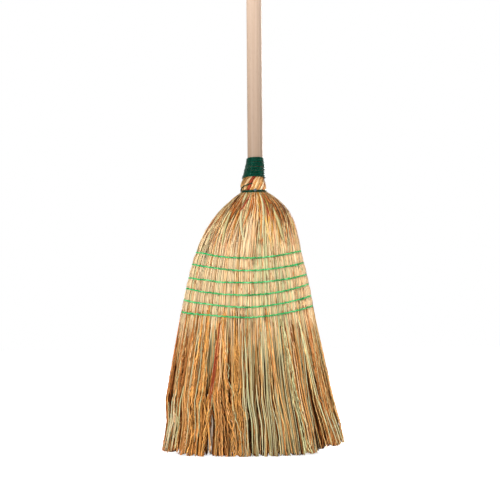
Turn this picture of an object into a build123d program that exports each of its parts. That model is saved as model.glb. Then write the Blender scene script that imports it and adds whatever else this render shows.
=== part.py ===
from build123d import *

import math
import os

# A rice straw broom: a pointed wooden stick in a fan of straw, which coated wire binds at the neck and six
# rows of twine sew flat. Millimetres, +Z up the stick's axis, +X to the right, +Y to the back, with the
# origin on the stick's axis at the level of the lowest straw tips.

# Stick
OVERALL_LENGTH = 1400.0
HANDLE_DIAMETER = 28.0
HANDLE_TOP_ROUND = 9.0
HANDLE_POINT_DIAMETER = 12.0
HANDLE_INSERT = 109.0

# Heights on the straw head
TIE_Z = 459.0
FIRST_ROW_Z = 336.3
ROW_COUNT = 6
ROW_PITCH = 21.2
LAST_ROW_PITCH = 17.3
ROOT_DROP = 14.0
SPREAD_Z = 92.0

# Reach of the straw to the left and right of the stick's axis, and half its thickness
TIE_LEFT, TIE_RIGHT = 24.8, 19.7
FIRST_ROW_LEFT, FIRST_ROW_RIGHT, FIRST_ROW_DEPTH = 113.2, 84.5, 34.0
LAST_ROW_LEFT, LAST_ROW_RIGHT, LAST_ROW_DEPTH = 135.5, 104.0, 32.0
SPREAD_LEFT, SPREAD_RIGHT, SPREAD_DEPTH = 159.0, 132.5, 38.0
TIP_LEFT, TIP_RIGHT, TIP_DEPTH = 164.0, 151.0, 45.0

# Shape of the shoulders: the share of each that runs straight, and how round the rest is
LEFT_STRAIGHT, LEFT_ROUND = 0.45, 3.0
RIGHT_STRAIGHT, RIGHT_ROUND = 0.33, 4.8
DEPTH_STRAIGHT, DEPTH_ROUND = 0.0, 4.0
SEWN_BULGE = 0.35

# Neck: straw over the stick, how far its middle leans, and heights above the tie
STALK_TOP_STRAW, STALK_TOP_LEAN, STALK_TOP_RISE = 1.5, -0.2, 51.0
WOUND_STRAW, WOUND_LEAN, WOUND_RISE = 6.6, -3.1, 25.0
PLUMP_STRAW, PLUMP_LEAN, PLUMP_RISE = 12.3, -4.3, 11.0

# Inside straw on the stick, above and below the tie
SLEEVE_STRAW, SLEEVE_RISE, SLEEVE_OVERLAP = 3.0, 19.0, 4.0
INSIDE_DROP = 3.0

# Thickness of the outer straw over the inside straw
TIE_HURL = 5.5
FIRST_ROW_HURL = 10.0
LAST_ROW_HURL = 12.0

# Where the outer hanks and the inside bundles part, at the tie and at the roots of the strands
HANK_LEFT_TOP, HANK_LEFT_ROOT = -9.0, -62.0
HANK_RIGHT_TOP, HANK_RIGHT_ROOT = 6.0, 32.0
CORE_MARGIN = 2.5
CORE_LEFT_ROOT, CORE_RIGHT_ROOT = -53.0, 22.0

# Coated wire
WIRE_DIAMETER = 1.8
WIRE_PITCH = 2.3
NECK_TURNS = 15.5
CORE_TURNS = 3.0
CORE_WIRE_RISE = 5.5
TIE_DROP = 1.4
TAIL_X = -5.0
TAIL_RISE = 10.0
TAIL_SLOPE = 0.3
TAIL_BEND = 3.0

# Nail that holds the start of the tie wire
NAIL_X = -0.7
NAIL_LENGTH = 26.0
NAIL_DIAMETER = 2.0
NAIL_HEAD_DIAMETER = 5.0
NAIL_HEAD_THICKNESS = 1.2

# Sewing twine
TWINE_DIAMETER = 2.4
STITCH_DIAMETER = 1.6
STITCH_PITCH = 22.0
STITCH_MARGIN = 12.0
ROW_RISE_LEFT = 13.0
FIRST_ROW_RISE_RIGHT, LAST_ROW_RISE_RIGHT = 14.5, 20.5

# Loose strands below the sewing
STRAND_PITCH = 5.2
STRAND_ROOT_WIDTH = 4.0
STRAND_TIP_WIDTH = 4.8
STRAND_SEAT = 1.0
CUT_MIDDLE_X = -10.0
CUT_RISE_LEFT, CUT_RISE_RIGHT = 9.5, 17.5
REST_FLAT = 0.5

# Fits
CLEARANCE = 0.3
NAIL_FIT = 0.1

# Worked out from the sizes above
HANDLE_RADIUS = HANDLE_DIAMETER / 2
WIRE_RADIUS = WIRE_DIAMETER / 2
TWINE_RADIUS = TWINE_DIAMETER / 2
WIRE_SEAT = WIRE_RADIUS + CLEARANCE
LAST_ROW_Z = FIRST_ROW_Z - ROW_PITCH * (ROW_COUNT - 2) - LAST_ROW_PITCH
ROOT_Z = LAST_ROW_Z - ROOT_DROP
HANDLE_POINT_Z = TIE_Z - HANDLE_INSERT
STALK_TOP_Z = TIE_Z + STALK_TOP_RISE
WOUND_Z = TIE_Z + WOUND_RISE
PLUMP_Z = TIE_Z + PLUMP_RISE
SLEEVE_TOP_Z = TIE_Z + SLEEVE_RISE
INSIDE_TOP_Z = TIE_Z - INSIDE_DROP
NECK_WIRE_Z = WOUND_Z + WIRE_RADIUS
NECK_WIRE_TOP_Z = NECK_WIRE_Z + NECK_TURNS * WIRE_PITCH
TAPER_TOP_Z = NECK_WIRE_TOP_Z + WIRE_DIAMETER
CORE_WIRE_Z = TIE_Z + CORE_WIRE_RISE
CORE_WIRE_TOP_Z = CORE_WIRE_Z + CORE_TURNS * WIRE_PITCH
TIE_WIRE_Z = TIE_Z - TIE_DROP
TIE_LEAN = (TIE_RIGHT - TIE_LEFT) / 2
TIE_RADIUS = (TIE_RIGHT + TIE_LEFT) / 2
TRIM_Z = ROOT_Z - STRAND_SEAT
WIDE = TIP_LEFT + TIP_RIGHT
CIRCLE_PULL = math.tan(math.pi / 8)
QUARTER = math.pi / 2

# Fineness of the forms
SHOULDER_STEPS = (0.0, 0.1, 0.25, 0.45, 0.7)
SEWN_LEVELS = [FIRST_ROW_Z, (FIRST_ROW_Z + LAST_ROW_Z) / 2, LAST_ROW_Z]
GAP_POINTS = 6
EDGES_IN_HALF_TURN = 4
WAY_STEP = 0.001
PATH_POINTS = 40


def between(start, end, share):
    """Value a share of the way from start to end."""
    return start + (end - start) * share


def swell(share, straight, power):
    """Growth from 0 to 1 that starts fast and ends as a straight slope."""
    return between(1 - (1 - share) ** power, share, straight)


def handle_radius(z):
    """Radius of the stick at a height: straight above the neck, tapering to its point below."""
    share = (TAPER_TOP_Z - z) / (TAPER_TOP_Z - HANDLE_POINT_Z)
    return between(HANDLE_RADIUS, HANDLE_POINT_DIAMETER / 2, min(max(share, 0.0), 1.0))


def head_size(z):
    """Left reach, right reach and half thickness of the sewn straw at a height."""
    if z >= FIRST_ROW_Z:
        share = (TIE_Z - z) / (TIE_Z - FIRST_ROW_Z)
        left = between(TIE_LEFT, FIRST_ROW_LEFT, swell(share, LEFT_STRAIGHT, LEFT_ROUND))
        right = between(TIE_RIGHT, FIRST_ROW_RIGHT, swell(share, RIGHT_STRAIGHT, RIGHT_ROUND))
        depth = between(TIE_RADIUS, FIRST_ROW_DEPTH, swell(share, DEPTH_STRAIGHT, DEPTH_ROUND))
        return left, right, depth
    share = (FIRST_ROW_Z - z) / (FIRST_ROW_Z - LAST_ROW_Z)
    bulged = share + SEWN_BULGE * share * (1 - share)
    left = between(FIRST_ROW_LEFT, LAST_ROW_LEFT, bulged)
    right = between(FIRST_ROW_RIGHT, LAST_ROW_RIGHT, bulged)
    return left, right, between(FIRST_ROW_DEPTH, LAST_ROW_DEPTH, share)


def neck_size(straw, lean, z):
    """Left reach, right reach and half thickness of the round neck of straw at a height."""
    radius = handle_radius(z) + straw
    return radius - lean, radius + lean, radius


def hurl_thickness(z):
    """Thickness of the outer straw at a height."""
    if z >= FIRST_ROW_Z:
        return between(TIE_HURL, FIRST_ROW_HURL, (TIE_Z - z) / (TIE_Z - FIRST_ROW_Z))
    return between(FIRST_ROW_HURL, LAST_ROW_HURL, (FIRST_ROW_Z - z) / (FIRST_ROW_Z - LAST_ROW_Z))


def shrunk(size, by):
    """An oval's left reach, right reach and half thickness, drawn in all round."""
    return tuple(value - by for value in size)


def biarc(start, start_way, end, end_way, start_pull):
    """Two tangent arcs from one point and direction to another."""
    span = end - start
    start_way = start_way.normalized()
    end_way = end_way.normalized()
    reach = span.dot(span) - 2 * start_pull * span.dot(start_way)
    turn = span.dot(end_way) + start_pull * (1 - start_way.dot(end_way))
    end_pull = reach / (2 * turn)
    first_corner = start + start_way * start_pull
    middle_way = end - end_way * end_pull - first_corner
    joint = first_corner + middle_way * (start_pull / (start_pull + end_pull))
    return [
        Edge.make_tangent_arc(start, start_way, joint),
        Edge.make_tangent_arc(joint, middle_way, end),
    ]


def loop(right_end, back, left_end, front):
    """Edges of a closed loop through four points, with the sharper arcs at its two ends."""
    corners = [right_end, back, left_end, front]
    ways = [Vector(0, 1, 0), Vector(-1, 0, 0), Vector(0, -1, 0), Vector(1, 0, 0)]
    edges = []
    for index in range(4):
        following = (index + 1) % 4
        start, end = corners[index], corners[following]
        long, short = abs(start.X - end.X), abs(start.Y - end.Y)
        pull = CIRCLE_PULL * short
        if index % 2:
            pull = (long**2 + short**2 - 2 * pull * short) / (2 * (long + pull))
        edges += biarc(start, ways[index], end, ways[following], pull)
    return edges


def oval_edges(size, z):
    """Edges of a level oval with the given left reach, right reach and half thickness."""
    left, right, depth = size
    middle = (right - left) / 2
    return loop(
        Vector(right, 0, z),
        Vector(middle, depth, z),
        Vector(-left, 0, z),
        Vector(middle, -depth, z),
    )


def oval(size, z):
    """Level oval as one wire."""
    return Wire(oval_edges(size, z))


def tube(edges, radius):
    """Round tube along a path of tangent edges."""
    path = Wire(edges)
    start = Plane(origin=path.position_at(0), z_dir=path.tangent_at(0))
    return sweep(start * Circle(radius), path=path).solid()


def rod(start, end, radius):
    """Straight round rod between two points."""
    way = end - start
    return Plane(origin=start, z_dir=way) * Cylinder(
        radius, way.length, align=(Align.CENTER, Align.CENTER, Align.MIN)
    )


def turned(profile):
    """Solid turned round the stick's axis from radius and height pairs."""
    face = Face(Wire.make_polygon([Vector(radius, 0, z) for radius, z in profile]))
    return revolve(face, axis=Axis.Z).solid()


def winding(place, first_angle, last_angle):
    """Edges of wire turns. place gives the radius, lean and height at an angle."""
    count = math.ceil((last_angle - first_angle) / QUARTER)
    step = (last_angle - first_angle) / count

    def point(angle):
        radius, lean, z = place(angle)
        return Vector(lean + radius * math.cos(angle), radius * math.sin(angle), z)

    def way(angle):
        return (point(angle + WAY_STEP) - point(angle - WAY_STEP)).normalized()

    edges = []
    for number in range(count):
        start = first_angle + number * step
        pull = place(start)[0] * math.tan(step / 4)
        edges += biarc(point(start), way(start), point(start + step), way(start + step), pull)
    lead_in = Edge.make_line(point(first_angle) - way(first_angle) * WIRE_DIAMETER, point(first_angle))
    return [lead_in] + edges


def lead_out(edges):
    """A winding's edges with a straight end, one wire diameter long."""
    end, way = edges[-1].position_at(1), edges[-1].tangent_at(1)
    return edges + [Edge.make_line(end, end + way * WIRE_DIAMETER)]


def least_gap(edges):
    """Smallest clear distance of a wire to its own neighbouring turns."""
    points = []
    for number, edge in enumerate(edges):
        points += [(number, edge.position_at(step / GAP_POINTS)) for step in range(GAP_POINTS)]
    distances = [
        (first - second).length
        for index, (number, first) in enumerate(points)
        for later, second in points[index + 1 :]
        if later - number >= EDGES_IN_HALF_TURN
    ]
    return min(distances) - WIRE_DIAMETER


def neck_wire_edges():
    """Close turns up the stalk ends and onto the stick."""
    stations = [
        (WOUND_Z, handle_radius(WOUND_Z) + WOUND_STRAW, WOUND_LEAN),
        (STALK_TOP_Z + WIRE_RADIUS, handle_radius(STALK_TOP_Z) + STALK_TOP_STRAW, STALK_TOP_LEAN),
        (TAPER_TOP_Z, HANDLE_RADIUS, 0.0),
    ]

    def place(angle):
        z = NECK_WIRE_Z + WIRE_PITCH * angle / (2 * math.pi)
        low, high = stations[:2] if z < stations[1][0] else stations[1:]
        share = (z - low[0]) / (high[0] - low[0])
        return between(low[1], high[1], share) + WIRE_SEAT, between(low[2], high[2], share), z

    return lead_out(winding(place, 0.0, 2 * math.pi * NECK_TURNS))


def core_wire_edges():
    """Turns that bind the inside straw to the stick."""

    def place(angle):
        z = CORE_WIRE_Z + WIRE_PITCH * angle / (2 * math.pi)
        return handle_radius(z) + CLEARANCE + SLEEVE_STRAW + WIRE_SEAT, 0.0, z

    return lead_out(winding(place, 0.0, 2 * math.pi * CORE_TURNS))


def tie_wire_edges():
    """Turns at the waist that start at the nail, then the tail up the front and into the straw."""
    radius = TIE_RADIUS + WIRE_SEAT
    start_x = NAIL_X + NAIL_DIAMETER / 2 + CLEARANCE + WIRE_DIAMETER
    first_angle = math.asin((start_x - TIE_LEAN) / radius) - QUARTER

    def place(angle):
        return radius, TIE_LEAN, TIE_WIRE_Z + WIRE_PITCH * (angle - first_angle) / (2 * math.pi)

    edges = winding(place, first_angle, 3 * math.pi)
    neck_radius = handle_radius(PLUMP_Z) + PLUMP_STRAW + WIRE_SEAT
    off_middle = TAIL_X - PLUMP_LEAN
    tuck = Vector(TAIL_X, -math.sqrt(neck_radius**2 - off_middle**2), TIE_Z + TAIL_RISE)
    tuck_way = Vector(1, 0, TAIL_SLOPE).normalized()
    start, start_way = edges[-1].position_at(1), edges[-1].tangent_at(1)
    edges += biarc(start, start_way, tuck, tuck_way, radius * CIRCLE_PULL)
    inward = Vector(0, 1, 0)
    bend_end = tuck + (tuck_way + inward) * TAIL_BEND
    edges.append(Edge.make_tangent_arc(tuck, tuck_way, bend_end))
    return lead_out(edges)


def row_heights():
    """Heights of the sewing rows at their middle, from the top."""
    heights = [FIRST_ROW_Z - ROW_PITCH * number for number in range(ROW_COUNT - 1)]
    return heights + [LAST_ROW_Z]


def row_edges(z, number):
    """Path of one sewing row round the head, with its sides drawn up."""
    right_z = z + between(FIRST_ROW_RISE_RIGHT, LAST_ROW_RISE_RIGHT, number / (ROW_COUNT - 1))
    left_z = z + ROW_RISE_LEFT
    left, right, depth = head_size(z)
    middle = (right - left) / 2
    right_end = Vector(head_size(right_z)[1], 0, right_z)
    left_end = Vector(-head_size(left_z)[0], 0, left_z)
    return loop(right_end, Vector(middle, depth, z), left_end, Vector(middle, -depth, z))


def stitch_lines(edges):
    """Straight lines through the head, from twine to twine, either side of the stick's axis."""
    steps = [step / PATH_POINTS for step in range(PATH_POINTS + 1)]
    front = [edge.position_at(step) for edge in edges[4:] for step in steps]
    left_x, right_x = front[0].X + STITCH_MARGIN, front[-1].X - STITCH_MARGIN
    lines = []
    for side in (-1, 1):
        x = side * STITCH_PITCH / 2
        while left_x < x < right_x:
            near = min(front, key=lambda point: abs(point.X - x))
            lines.append((Vector(near.X, near.Y, near.Z), Vector(near.X, -near.Y, near.Z)))
            x += side * STITCH_PITCH
    return lines


def make_handle():
    """Stick with a rounded top and a long point."""
    straight_top = OVERALL_LENGTH - HANDLE_TOP_ROUND
    round_middle = HANDLE_RADIUS - HANDLE_TOP_ROUND
    corner = math.sqrt(0.5) * HANDLE_TOP_ROUND
    outline = Polyline(
        (0, OVERALL_LENGTH),
        (0, HANDLE_POINT_Z),
        (HANDLE_POINT_DIAMETER / 2, HANDLE_POINT_Z),
        (HANDLE_RADIUS, TAPER_TOP_Z),
        (HANDLE_RADIUS, straight_top),
    )
    round_end = ThreePointArc(
        (HANDLE_RADIUS, straight_top),
        (round_middle + corner, straight_top + corner),
        (round_middle, OVERALL_LENGTH),
    )
    end_line = Line((round_middle, OVERALL_LENGTH), (0, OVERALL_LENGTH))
    profile = make_face(Plane.XZ * (outline + round_end + end_line))
    return revolve(profile, axis=Axis.Z).solid()


def make_outer_straw():
    """Whole outer form of the straw, from the stalk ends to just under the strands' roots."""
    stalk_top = oval(neck_size(STALK_TOP_STRAW, STALK_TOP_LEAN, STALK_TOP_Z), STALK_TOP_Z)
    wound = oval(neck_size(WOUND_STRAW, WOUND_LEAN, WOUND_Z), WOUND_Z)
    plump = oval(neck_size(PLUMP_STRAW, PLUMP_LEAN, PLUMP_Z), PLUMP_Z)
    tie = oval(head_size(TIE_Z), TIE_Z)
    levels = [between(TIE_Z, FIRST_ROW_Z, step) for step in SHOULDER_STEPS[1:]] + SEWN_LEVELS
    stalks = Solid.make_loft([stalk_top, wound], ruled=True)
    neck = Solid.make_loft([wound, plump, tie])
    head = Solid.make_loft([tie] + [oval(head_size(z), z) for z in levels])
    skirt = Solid.make_loft([oval(head_size(z), z) for z in (LAST_ROW_Z, TRIM_Z)], ruled=True)
    return stalks.fuse(neck, head, skirt).solid()


def make_inside_straw(extra):
    """Form of the inside straw, larger all round by extra."""
    levels = [between(INSIDE_TOP_Z, FIRST_ROW_Z, step) for step in SHOULDER_STEPS] + SEWN_LEVELS

    def section(z):
        return oval(shrunk(head_size(z), hurl_thickness(z) - extra), z)

    fan = Solid.make_loft([section(z) for z in levels])
    skirt = Solid.make_loft([section(LAST_ROW_Z), section(TRIM_Z)], ruled=True)
    straw = CLEARANCE + SLEEVE_STRAW + extra
    low_z, top_z = INSIDE_TOP_Z - SLEEVE_OVERLAP, SLEEVE_TOP_Z + extra
    low_radius, top_radius = handle_radius(low_z) + straw, handle_radius(top_z) + straw
    sleeve = turned([(0, low_z), (low_radius, low_z), (top_radius, top_z), (0, top_z)])
    return fan.fuse(sleeve, skirt).solid()


def stick_bore():
    """Room for the stick and its point in the straw."""
    low_z, high_z = HANDLE_POINT_Z - CLEARANCE, TAPER_TOP_Z
    low_radius, high_radius = handle_radius(low_z) + CLEARANCE, handle_radius(high_z) + CLEARANCE
    return turned([(0, low_z), (low_radius, low_z), (high_radius, high_z), (0, high_z)])


def core_wire_room():
    """Room for the core's wire in the outer straw."""
    low_z = CORE_WIRE_Z - WIRE_DIAMETER
    high_z = CORE_WIRE_TOP_Z + WIRE_DIAMETER
    radius = handle_radius(high_z) + CLEARANCE + SLEEVE_STRAW + 2 * WIRE_SEAT
    return turned([(0, low_z), (radius, low_z), (radius, high_z), (0, high_z)])


def zone(left, right, near_y, far_y):
    """Block of space between two bent lines, each given by its place at the tie and at the roots."""
    top_z = OVERALL_LENGTH
    outline = [(left[0], top_z), (left[0], TIE_Z), (left[1], ROOT_Z)]
    outline += [(right[1], ROOT_Z), (right[0], TIE_Z), (right[0], top_z)]
    face = Face(Wire.make_polygon([Vector(x, near_y, z) for x, z in outline]))
    return Solid.extrude(face, Vector(0, far_y - near_y, 0))


def three_zones(left_top, left_root, right_top, right_root, near_y, far_y):
    """Left, centre and right blocks, a clearance apart."""
    half = CLEARANCE / 2
    left_edge = (left_top - half, left_root - half)
    centre_left, centre_right = (left_top + half, left_root + half), (right_top - half, right_root - half)
    right_edge = (right_top + half, right_root + half)
    return {
        "left": zone((-WIDE, -WIDE), left_edge, near_y, far_y),
        "centre": zone(centre_left, centre_right, near_y, far_y),
        "right": zone(right_edge, (WIDE, WIDE), near_y, far_y),
    }


def side_points(size):
    """Points along the back of an oval, from its right end to its left."""
    steps = [step / PATH_POINTS for step in range(PATH_POINTS + 1)]
    return [edge.position_at(step) for edge in oval_edges(size, 0)[:4] for step in steps]


def depth_at(points, x):
    """Half thickness of an oval at a place across it, or nothing beyond its ends."""
    for first, second in zip(points, points[1:]):
        if second.X <= x <= first.X and second.X < first.X:
            return between(first.Y, second.Y, (first.X - x) / (first.X - second.X))
    return 0.0


def depths_over_strand(points, x):
    """Least and greatest half thickness of an oval over a strand's width."""
    half = STRAND_ROOT_WIDTH / 2
    depths = [depth_at(points, place) for place in (x - half, x, x + half)]
    return min(depths), max(depths)


def strand_columns():
    """Places of the columns of strands across the head, evenly from end to end."""
    left, right, _ = head_size(ROOT_Z)
    edge_room = STRAND_ROOT_WIDTH / 2 + CLEARANCE
    first, last = edge_room - left, right - edge_room
    steps = int((last - first) / STRAND_PITCH)
    return [between(first, last, step / steps) for step in range(steps + 1)]


def column_gap(x):
    """Middle of the gap between two columns of strands that lies nearest to x."""
    columns = strand_columns()
    gaps = [(first + second) / 2 for first, second in zip(columns, columns[1:])]
    return min(gaps, key=lambda gap: abs(gap - x))


def cut_height(x):
    """Height of the trimmed tips, which rise to both sides, above the flat that the broom stands on."""
    if x < CUT_MIDDLE_X:
        rise = CUT_RISE_LEFT * ((x - CUT_MIDDLE_X) / (TIP_LEFT + CUT_MIDDLE_X)) ** 2
    else:
        rise = CUT_RISE_RIGHT * ((x - CUT_MIDDLE_X) / (TIP_RIGHT - CUT_MIDDLE_X)) ** 2
    return max(0.0, rise - REST_FLAT)


def strand(root, spread, tip):
    """Four-sided strand through its root, its spread and its trimmed tip."""
    tip_z = cut_height(tip.X)
    spread_width = (STRAND_ROOT_WIDTH + STRAND_TIP_WIDTH) / 2
    stations = [
        (root, ROOT_Z + STRAND_SEAT, STRAND_ROOT_WIDTH / 2),
        (spread, SPREAD_Z, spread_width / 2),
        (tip, tip_z, STRAND_TIP_WIDTH / 2),
    ]
    sections = []
    for middle, z, half in stations:
        corners = [(-half, -half), (half, -half), (half, half), (-half, half)]
        sections.append([Vector(middle.X + x, middle.Y + y, z) for x, y in corners])
    outlines = [sections[0], sections[-1]]
    for upper, lower in zip(sections, sections[1:]):
        for corner in range(4):
            outlines.append([upper[corner - 1], upper[corner], lower[corner], lower[corner - 1]])
    return Solid(Shell([Face(Wire.make_polygon(outline)) for outline in outlines]))


def evenly(low, high):
    """Middles of as many strands as fit between two edges."""
    count = int((high - low) / STRAND_PITCH)
    return [between(low, high, (number + 0.5) / count) for number in range(count)]


def make_strands():
    """All loose strands by bundle, in columns from front to back that fan out without crossing."""
    sizes = [
        head_size(ROOT_Z),
        (SPREAD_LEFT, SPREAD_RIGHT, SPREAD_DEPTH),
        (TIP_LEFT, TIP_RIGHT, TIP_DEPTH),
    ]
    sides = [side_points(size) for size in sizes]
    inside = side_points(shrunk(sizes[0], hurl_thickness(ROOT_Z)))
    left, right, _ = sizes[0]
    bundles = {}
    for x in strand_columns():
        hank = ("left", "centre", "right")[(x > HANK_LINES[1]) + (x > HANK_LINES[3])]
        bundle = ("left_shoulder", "core", "right_shoulder")[(x > CORE_LINES[1]) + (x > CORE_LINES[3])]
        root_depth = depth_at(sides[0], x)
        inside_least, inside_most = depths_over_strand(inside, x)
        rows = [(f"{bundle}_bundle", y) for y in evenly(-inside_least, inside_least)]
        for y in evenly(inside_most + CLEARANCE, root_depth):
            rows += [(f"front_hurl_{hank}", -y), (f"back_hurl_{hank}", y)]
        across = (x + left) / (left + right)
        for name, y in rows:
            stations = []
            for size, side in zip(sizes, sides):
                station_x = between(-size[0], size[1], across)
                stations.append(Vector(station_x, y * depth_at(side, station_x) / root_depth))
            bundles.setdefault(name, []).append(strand(*stations))
    return bundles


def make_nail():
    """Nail driven through the straw into the stick, its head over the wire."""
    head_y = -(TIE_RADIUS + WIRE_SEAT + WIRE_RADIUS + CLEARANCE)
    seat = Vector(NAIL_X, head_y, TIE_WIRE_Z)
    shank = rod(seat, seat + Vector(0, NAIL_LENGTH, 0), NAIL_DIAMETER / 2)
    head = rod(seat, seat - Vector(0, NAIL_HEAD_THICKNESS, 0), NAIL_HEAD_DIAMETER / 2)
    room = rod(seat, seat + Vector(0, NAIL_LENGTH + CLEARANCE, 0), NAIL_DIAMETER / 2 + NAIL_FIT)
    return shank.fuse(head).solid(), room


CORE_TOP = handle_radius(INSIDE_TOP_Z) + SLEEVE_STRAW + CORE_MARGIN
CORE_LINES = (-CORE_TOP, column_gap(CORE_LEFT_ROOT), CORE_TOP, column_gap(CORE_RIGHT_ROOT))
HANK_LINES = (HANK_LEFT_TOP, column_gap(HANK_LEFT_ROOT), HANK_RIGHT_TOP, column_gap(HANK_RIGHT_ROOT))


def main():
    os.makedirs("parts", exist_ok=True)
    nail, nail_room = make_nail()
    nodes = {"handle": make_handle().cut(nail_room), "shoulder_tie_nail": nail}

    wires = {
        "neck_winding_wire": neck_wire_edges(),
        "shoulder_tie_wire": tie_wire_edges(),
        "core_binding_wire": core_wire_edges(),
    }
    for name, edges in wires.items():
        nodes[name] = tube(edges, WIRE_RADIUS)
        print(name, "least gap to itself", round(least_gap(edges), 3), "mm")

    grooves, stitch_rooms = [], []
    for number, z in enumerate(row_heights()):
        edges = row_edges(z, number)
        lines = stitch_lines(edges)
        stitches = [rod(start, end, STITCH_DIAMETER / 2) for start, end in lines]
        nodes[f"sewing_row_{number + 1}"] = tube(edges, TWINE_RADIUS).fuse(*stitches).solid()
        grooves.append(tube(edges, TWINE_RADIUS + CLEARANCE))
        stitch_rooms += [rod(start, end, STITCH_DIAMETER / 2 + CLEARANCE) for start, end in lines]

    tie_room = tube(wires["shoulder_tie_wire"], WIRE_SEAT)
    bore = stick_bore()
    hurl = make_outer_straw().cut(make_inside_straw(CLEARANCE), bore, core_wire_room(), nail_room)
    hurl = hurl.cut(tie_room, *grooves, *stitch_rooms)
    inside = make_inside_straw(0.0).cut(bore, nail_room, *stitch_rooms)

    half = CLEARANCE / 2
    blocks = {}
    for face, near_y, far_y in (("front", -WIDE, -half), ("back", half, WIDE)):
        for side, block in three_zones(*HANK_LINES, near_y, far_y).items():
            blocks[f"{face}_hurl_{side}"] = hurl.intersect(block).solid()
    inside_zones = three_zones(*CORE_LINES, -WIDE, WIDE)
    blocks["left_shoulder_bundle"] = inside.intersect(inside_zones["left"]).solid()
    blocks["core_bundle"] = inside.intersect(inside_zones["centre"]).solid()
    blocks["right_shoulder_bundle"] = inside.intersect(inside_zones["right"]).solid()

    bundles = make_strands()
    for name, block in blocks.items():
        nodes[name] = block.fuse(*bundles[name])

    for name, solid in nodes.items():
        export_step(solid, f"parts/{name}.step")


if __name__ == "__main__":
    main()
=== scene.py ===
import math

import bpy
import numpy as np
from mathutils import Matrix, Vector


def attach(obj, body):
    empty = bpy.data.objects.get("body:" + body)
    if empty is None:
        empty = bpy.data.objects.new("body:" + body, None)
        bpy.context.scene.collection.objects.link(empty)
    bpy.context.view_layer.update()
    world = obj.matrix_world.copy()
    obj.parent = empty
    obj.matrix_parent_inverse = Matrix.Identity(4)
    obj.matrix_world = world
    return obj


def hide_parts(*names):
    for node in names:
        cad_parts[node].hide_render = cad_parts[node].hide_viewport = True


# A rice straw broom on a white studio floor. Sizes are in millimetres, as in the solids, and turn into metres
# when a mesh is made. Across the head, a place runs from -1 at its left edge to 1 at its right, and its depth
# runs from -1 at the front face to 1 at the back face. A height with a fade is where one look turns into
# another, downwards where the fade is negative. Two limits are the least and the most of a random value.
MM = 0.001
SEED = 52
UP = np.array([0.0, 0.0, 1.0])

# Straw head, as in the solids
TIE_Z, SPREAD_Z, WAIST_Z = 459.0, 92.0, 55.0
ROW_HEIGHTS = (336.3, 314.6, 293.6, 272.0, 251.6, 234.2)
ROW_RISE_LEFT = (14.2, 14.2, 11.5, 14.0, 14.6, 10.5)
ROW_RISE_RIGHT = (14.8, 15.5, 15.5, 20.5, 20.2, 20.0)
ROW_CURVE = 1.8
ROWS = range(len(ROW_HEIGHTS))
FIRST_ROW_Z, LAST_ROW_Z = ROW_HEIGHTS[0], ROW_HEIGHTS[-1]

# Reach of the straw to the left, its reach to the right and half its thickness
TIE = (24.8, 19.7, 22.3)
FIRST_ROW = (113.2, 84.5, 34.0)
LAST_ROW = (135.5, 104.0, 32.0)
SPREAD = (160.5, 134.5, 38.0)
WAIST = (158.5, 144.0, 40.5)
TIP = (167.0, 156.0, 43.0)
SHOULDER_STRAIGHT = (0.45, 0.33, 0.0)
SHOULDER_ROUND = (3.0, 4.8, 4.0)
SEWN_BULGE = 0.35
TIP_LEFT, TIP_RIGHT, _ = TIP

# Neck, from the tie up to under the winding
NECK_Z = (TIE_Z, 470.0, 484.0, 510.0)
NECK_RADIUS = (22.3, 23.9, 18.8, 14.9)
NECK_LEAN = (-2.6, -4.3, -3.1, -0.2)

# Trimmed tips and the notches between the clumps
CUT_MIDDLE_X, CUT_RISE_LEFT, CUT_RISE_RIGHT, CUT_CURVE = -10.0, 7.0, 20.0, 3
NOTCHES_X, NOTCH_RISE, NOTCH_WIDTH = (-143.6, 125.7), 10.0, 3.6
CLUMP_SPACING, CLUMP_NOTCH = (16.0, 30.0), (2.5, 6.5)
TIP_DROP, TIP_SPREAD, TIP_FLOOR = 2.2, 1.1, 0.9
TIP_LIGHT, TIP_LIGHT_FROM = 0.12, 0.9

# Where the hanks part, the green stretch, the honey-coloured clumps and the slit
HANK_EDGES = (-0.42, 0.36)
GREEN_EDGE, GREEN_MIDDLE, GREEN_WIDTH = -0.1, 0.36, 0.25
HONEY_PLACES, HONEY_REACH = (-0.62, -0.26), 0.1
SLIT_X, SLIT_REACH, SLIT_START = -84.0, 22.0, (105.0, -50.0)
SLIT_GAP, SLIT_GAP_BEHIND = 7.5, 2.4

# Any strand: its place, its wander, how the twine presses it in, its light and its cell on the map
FACE_SHAPE, FACE_STEPS, PLACE_SPREAD = 0.3, 181, 0.4
SWAY_SIZE, SWAY_PITCH, EDGE_POWER = 0.6, 0.7, 8
ROW_PRESS, ROW_PRESS_REACH = 0.9, 5.0
NOISE_OWN, NOISE_BESIDE = 0.7, 0.3
STRAND_LIGHT = (0.45, 1.25)
SHADE_WARMTH = np.array([0.8, 1.0, 1.2])
SIDES, CELL_SHAPE, CELL_MARGIN = 3, 3.0, 0.1
CAP_CORNERS = ((0.02, 0.02), (0.12, 0.02), (0.07, 0.06))

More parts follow.
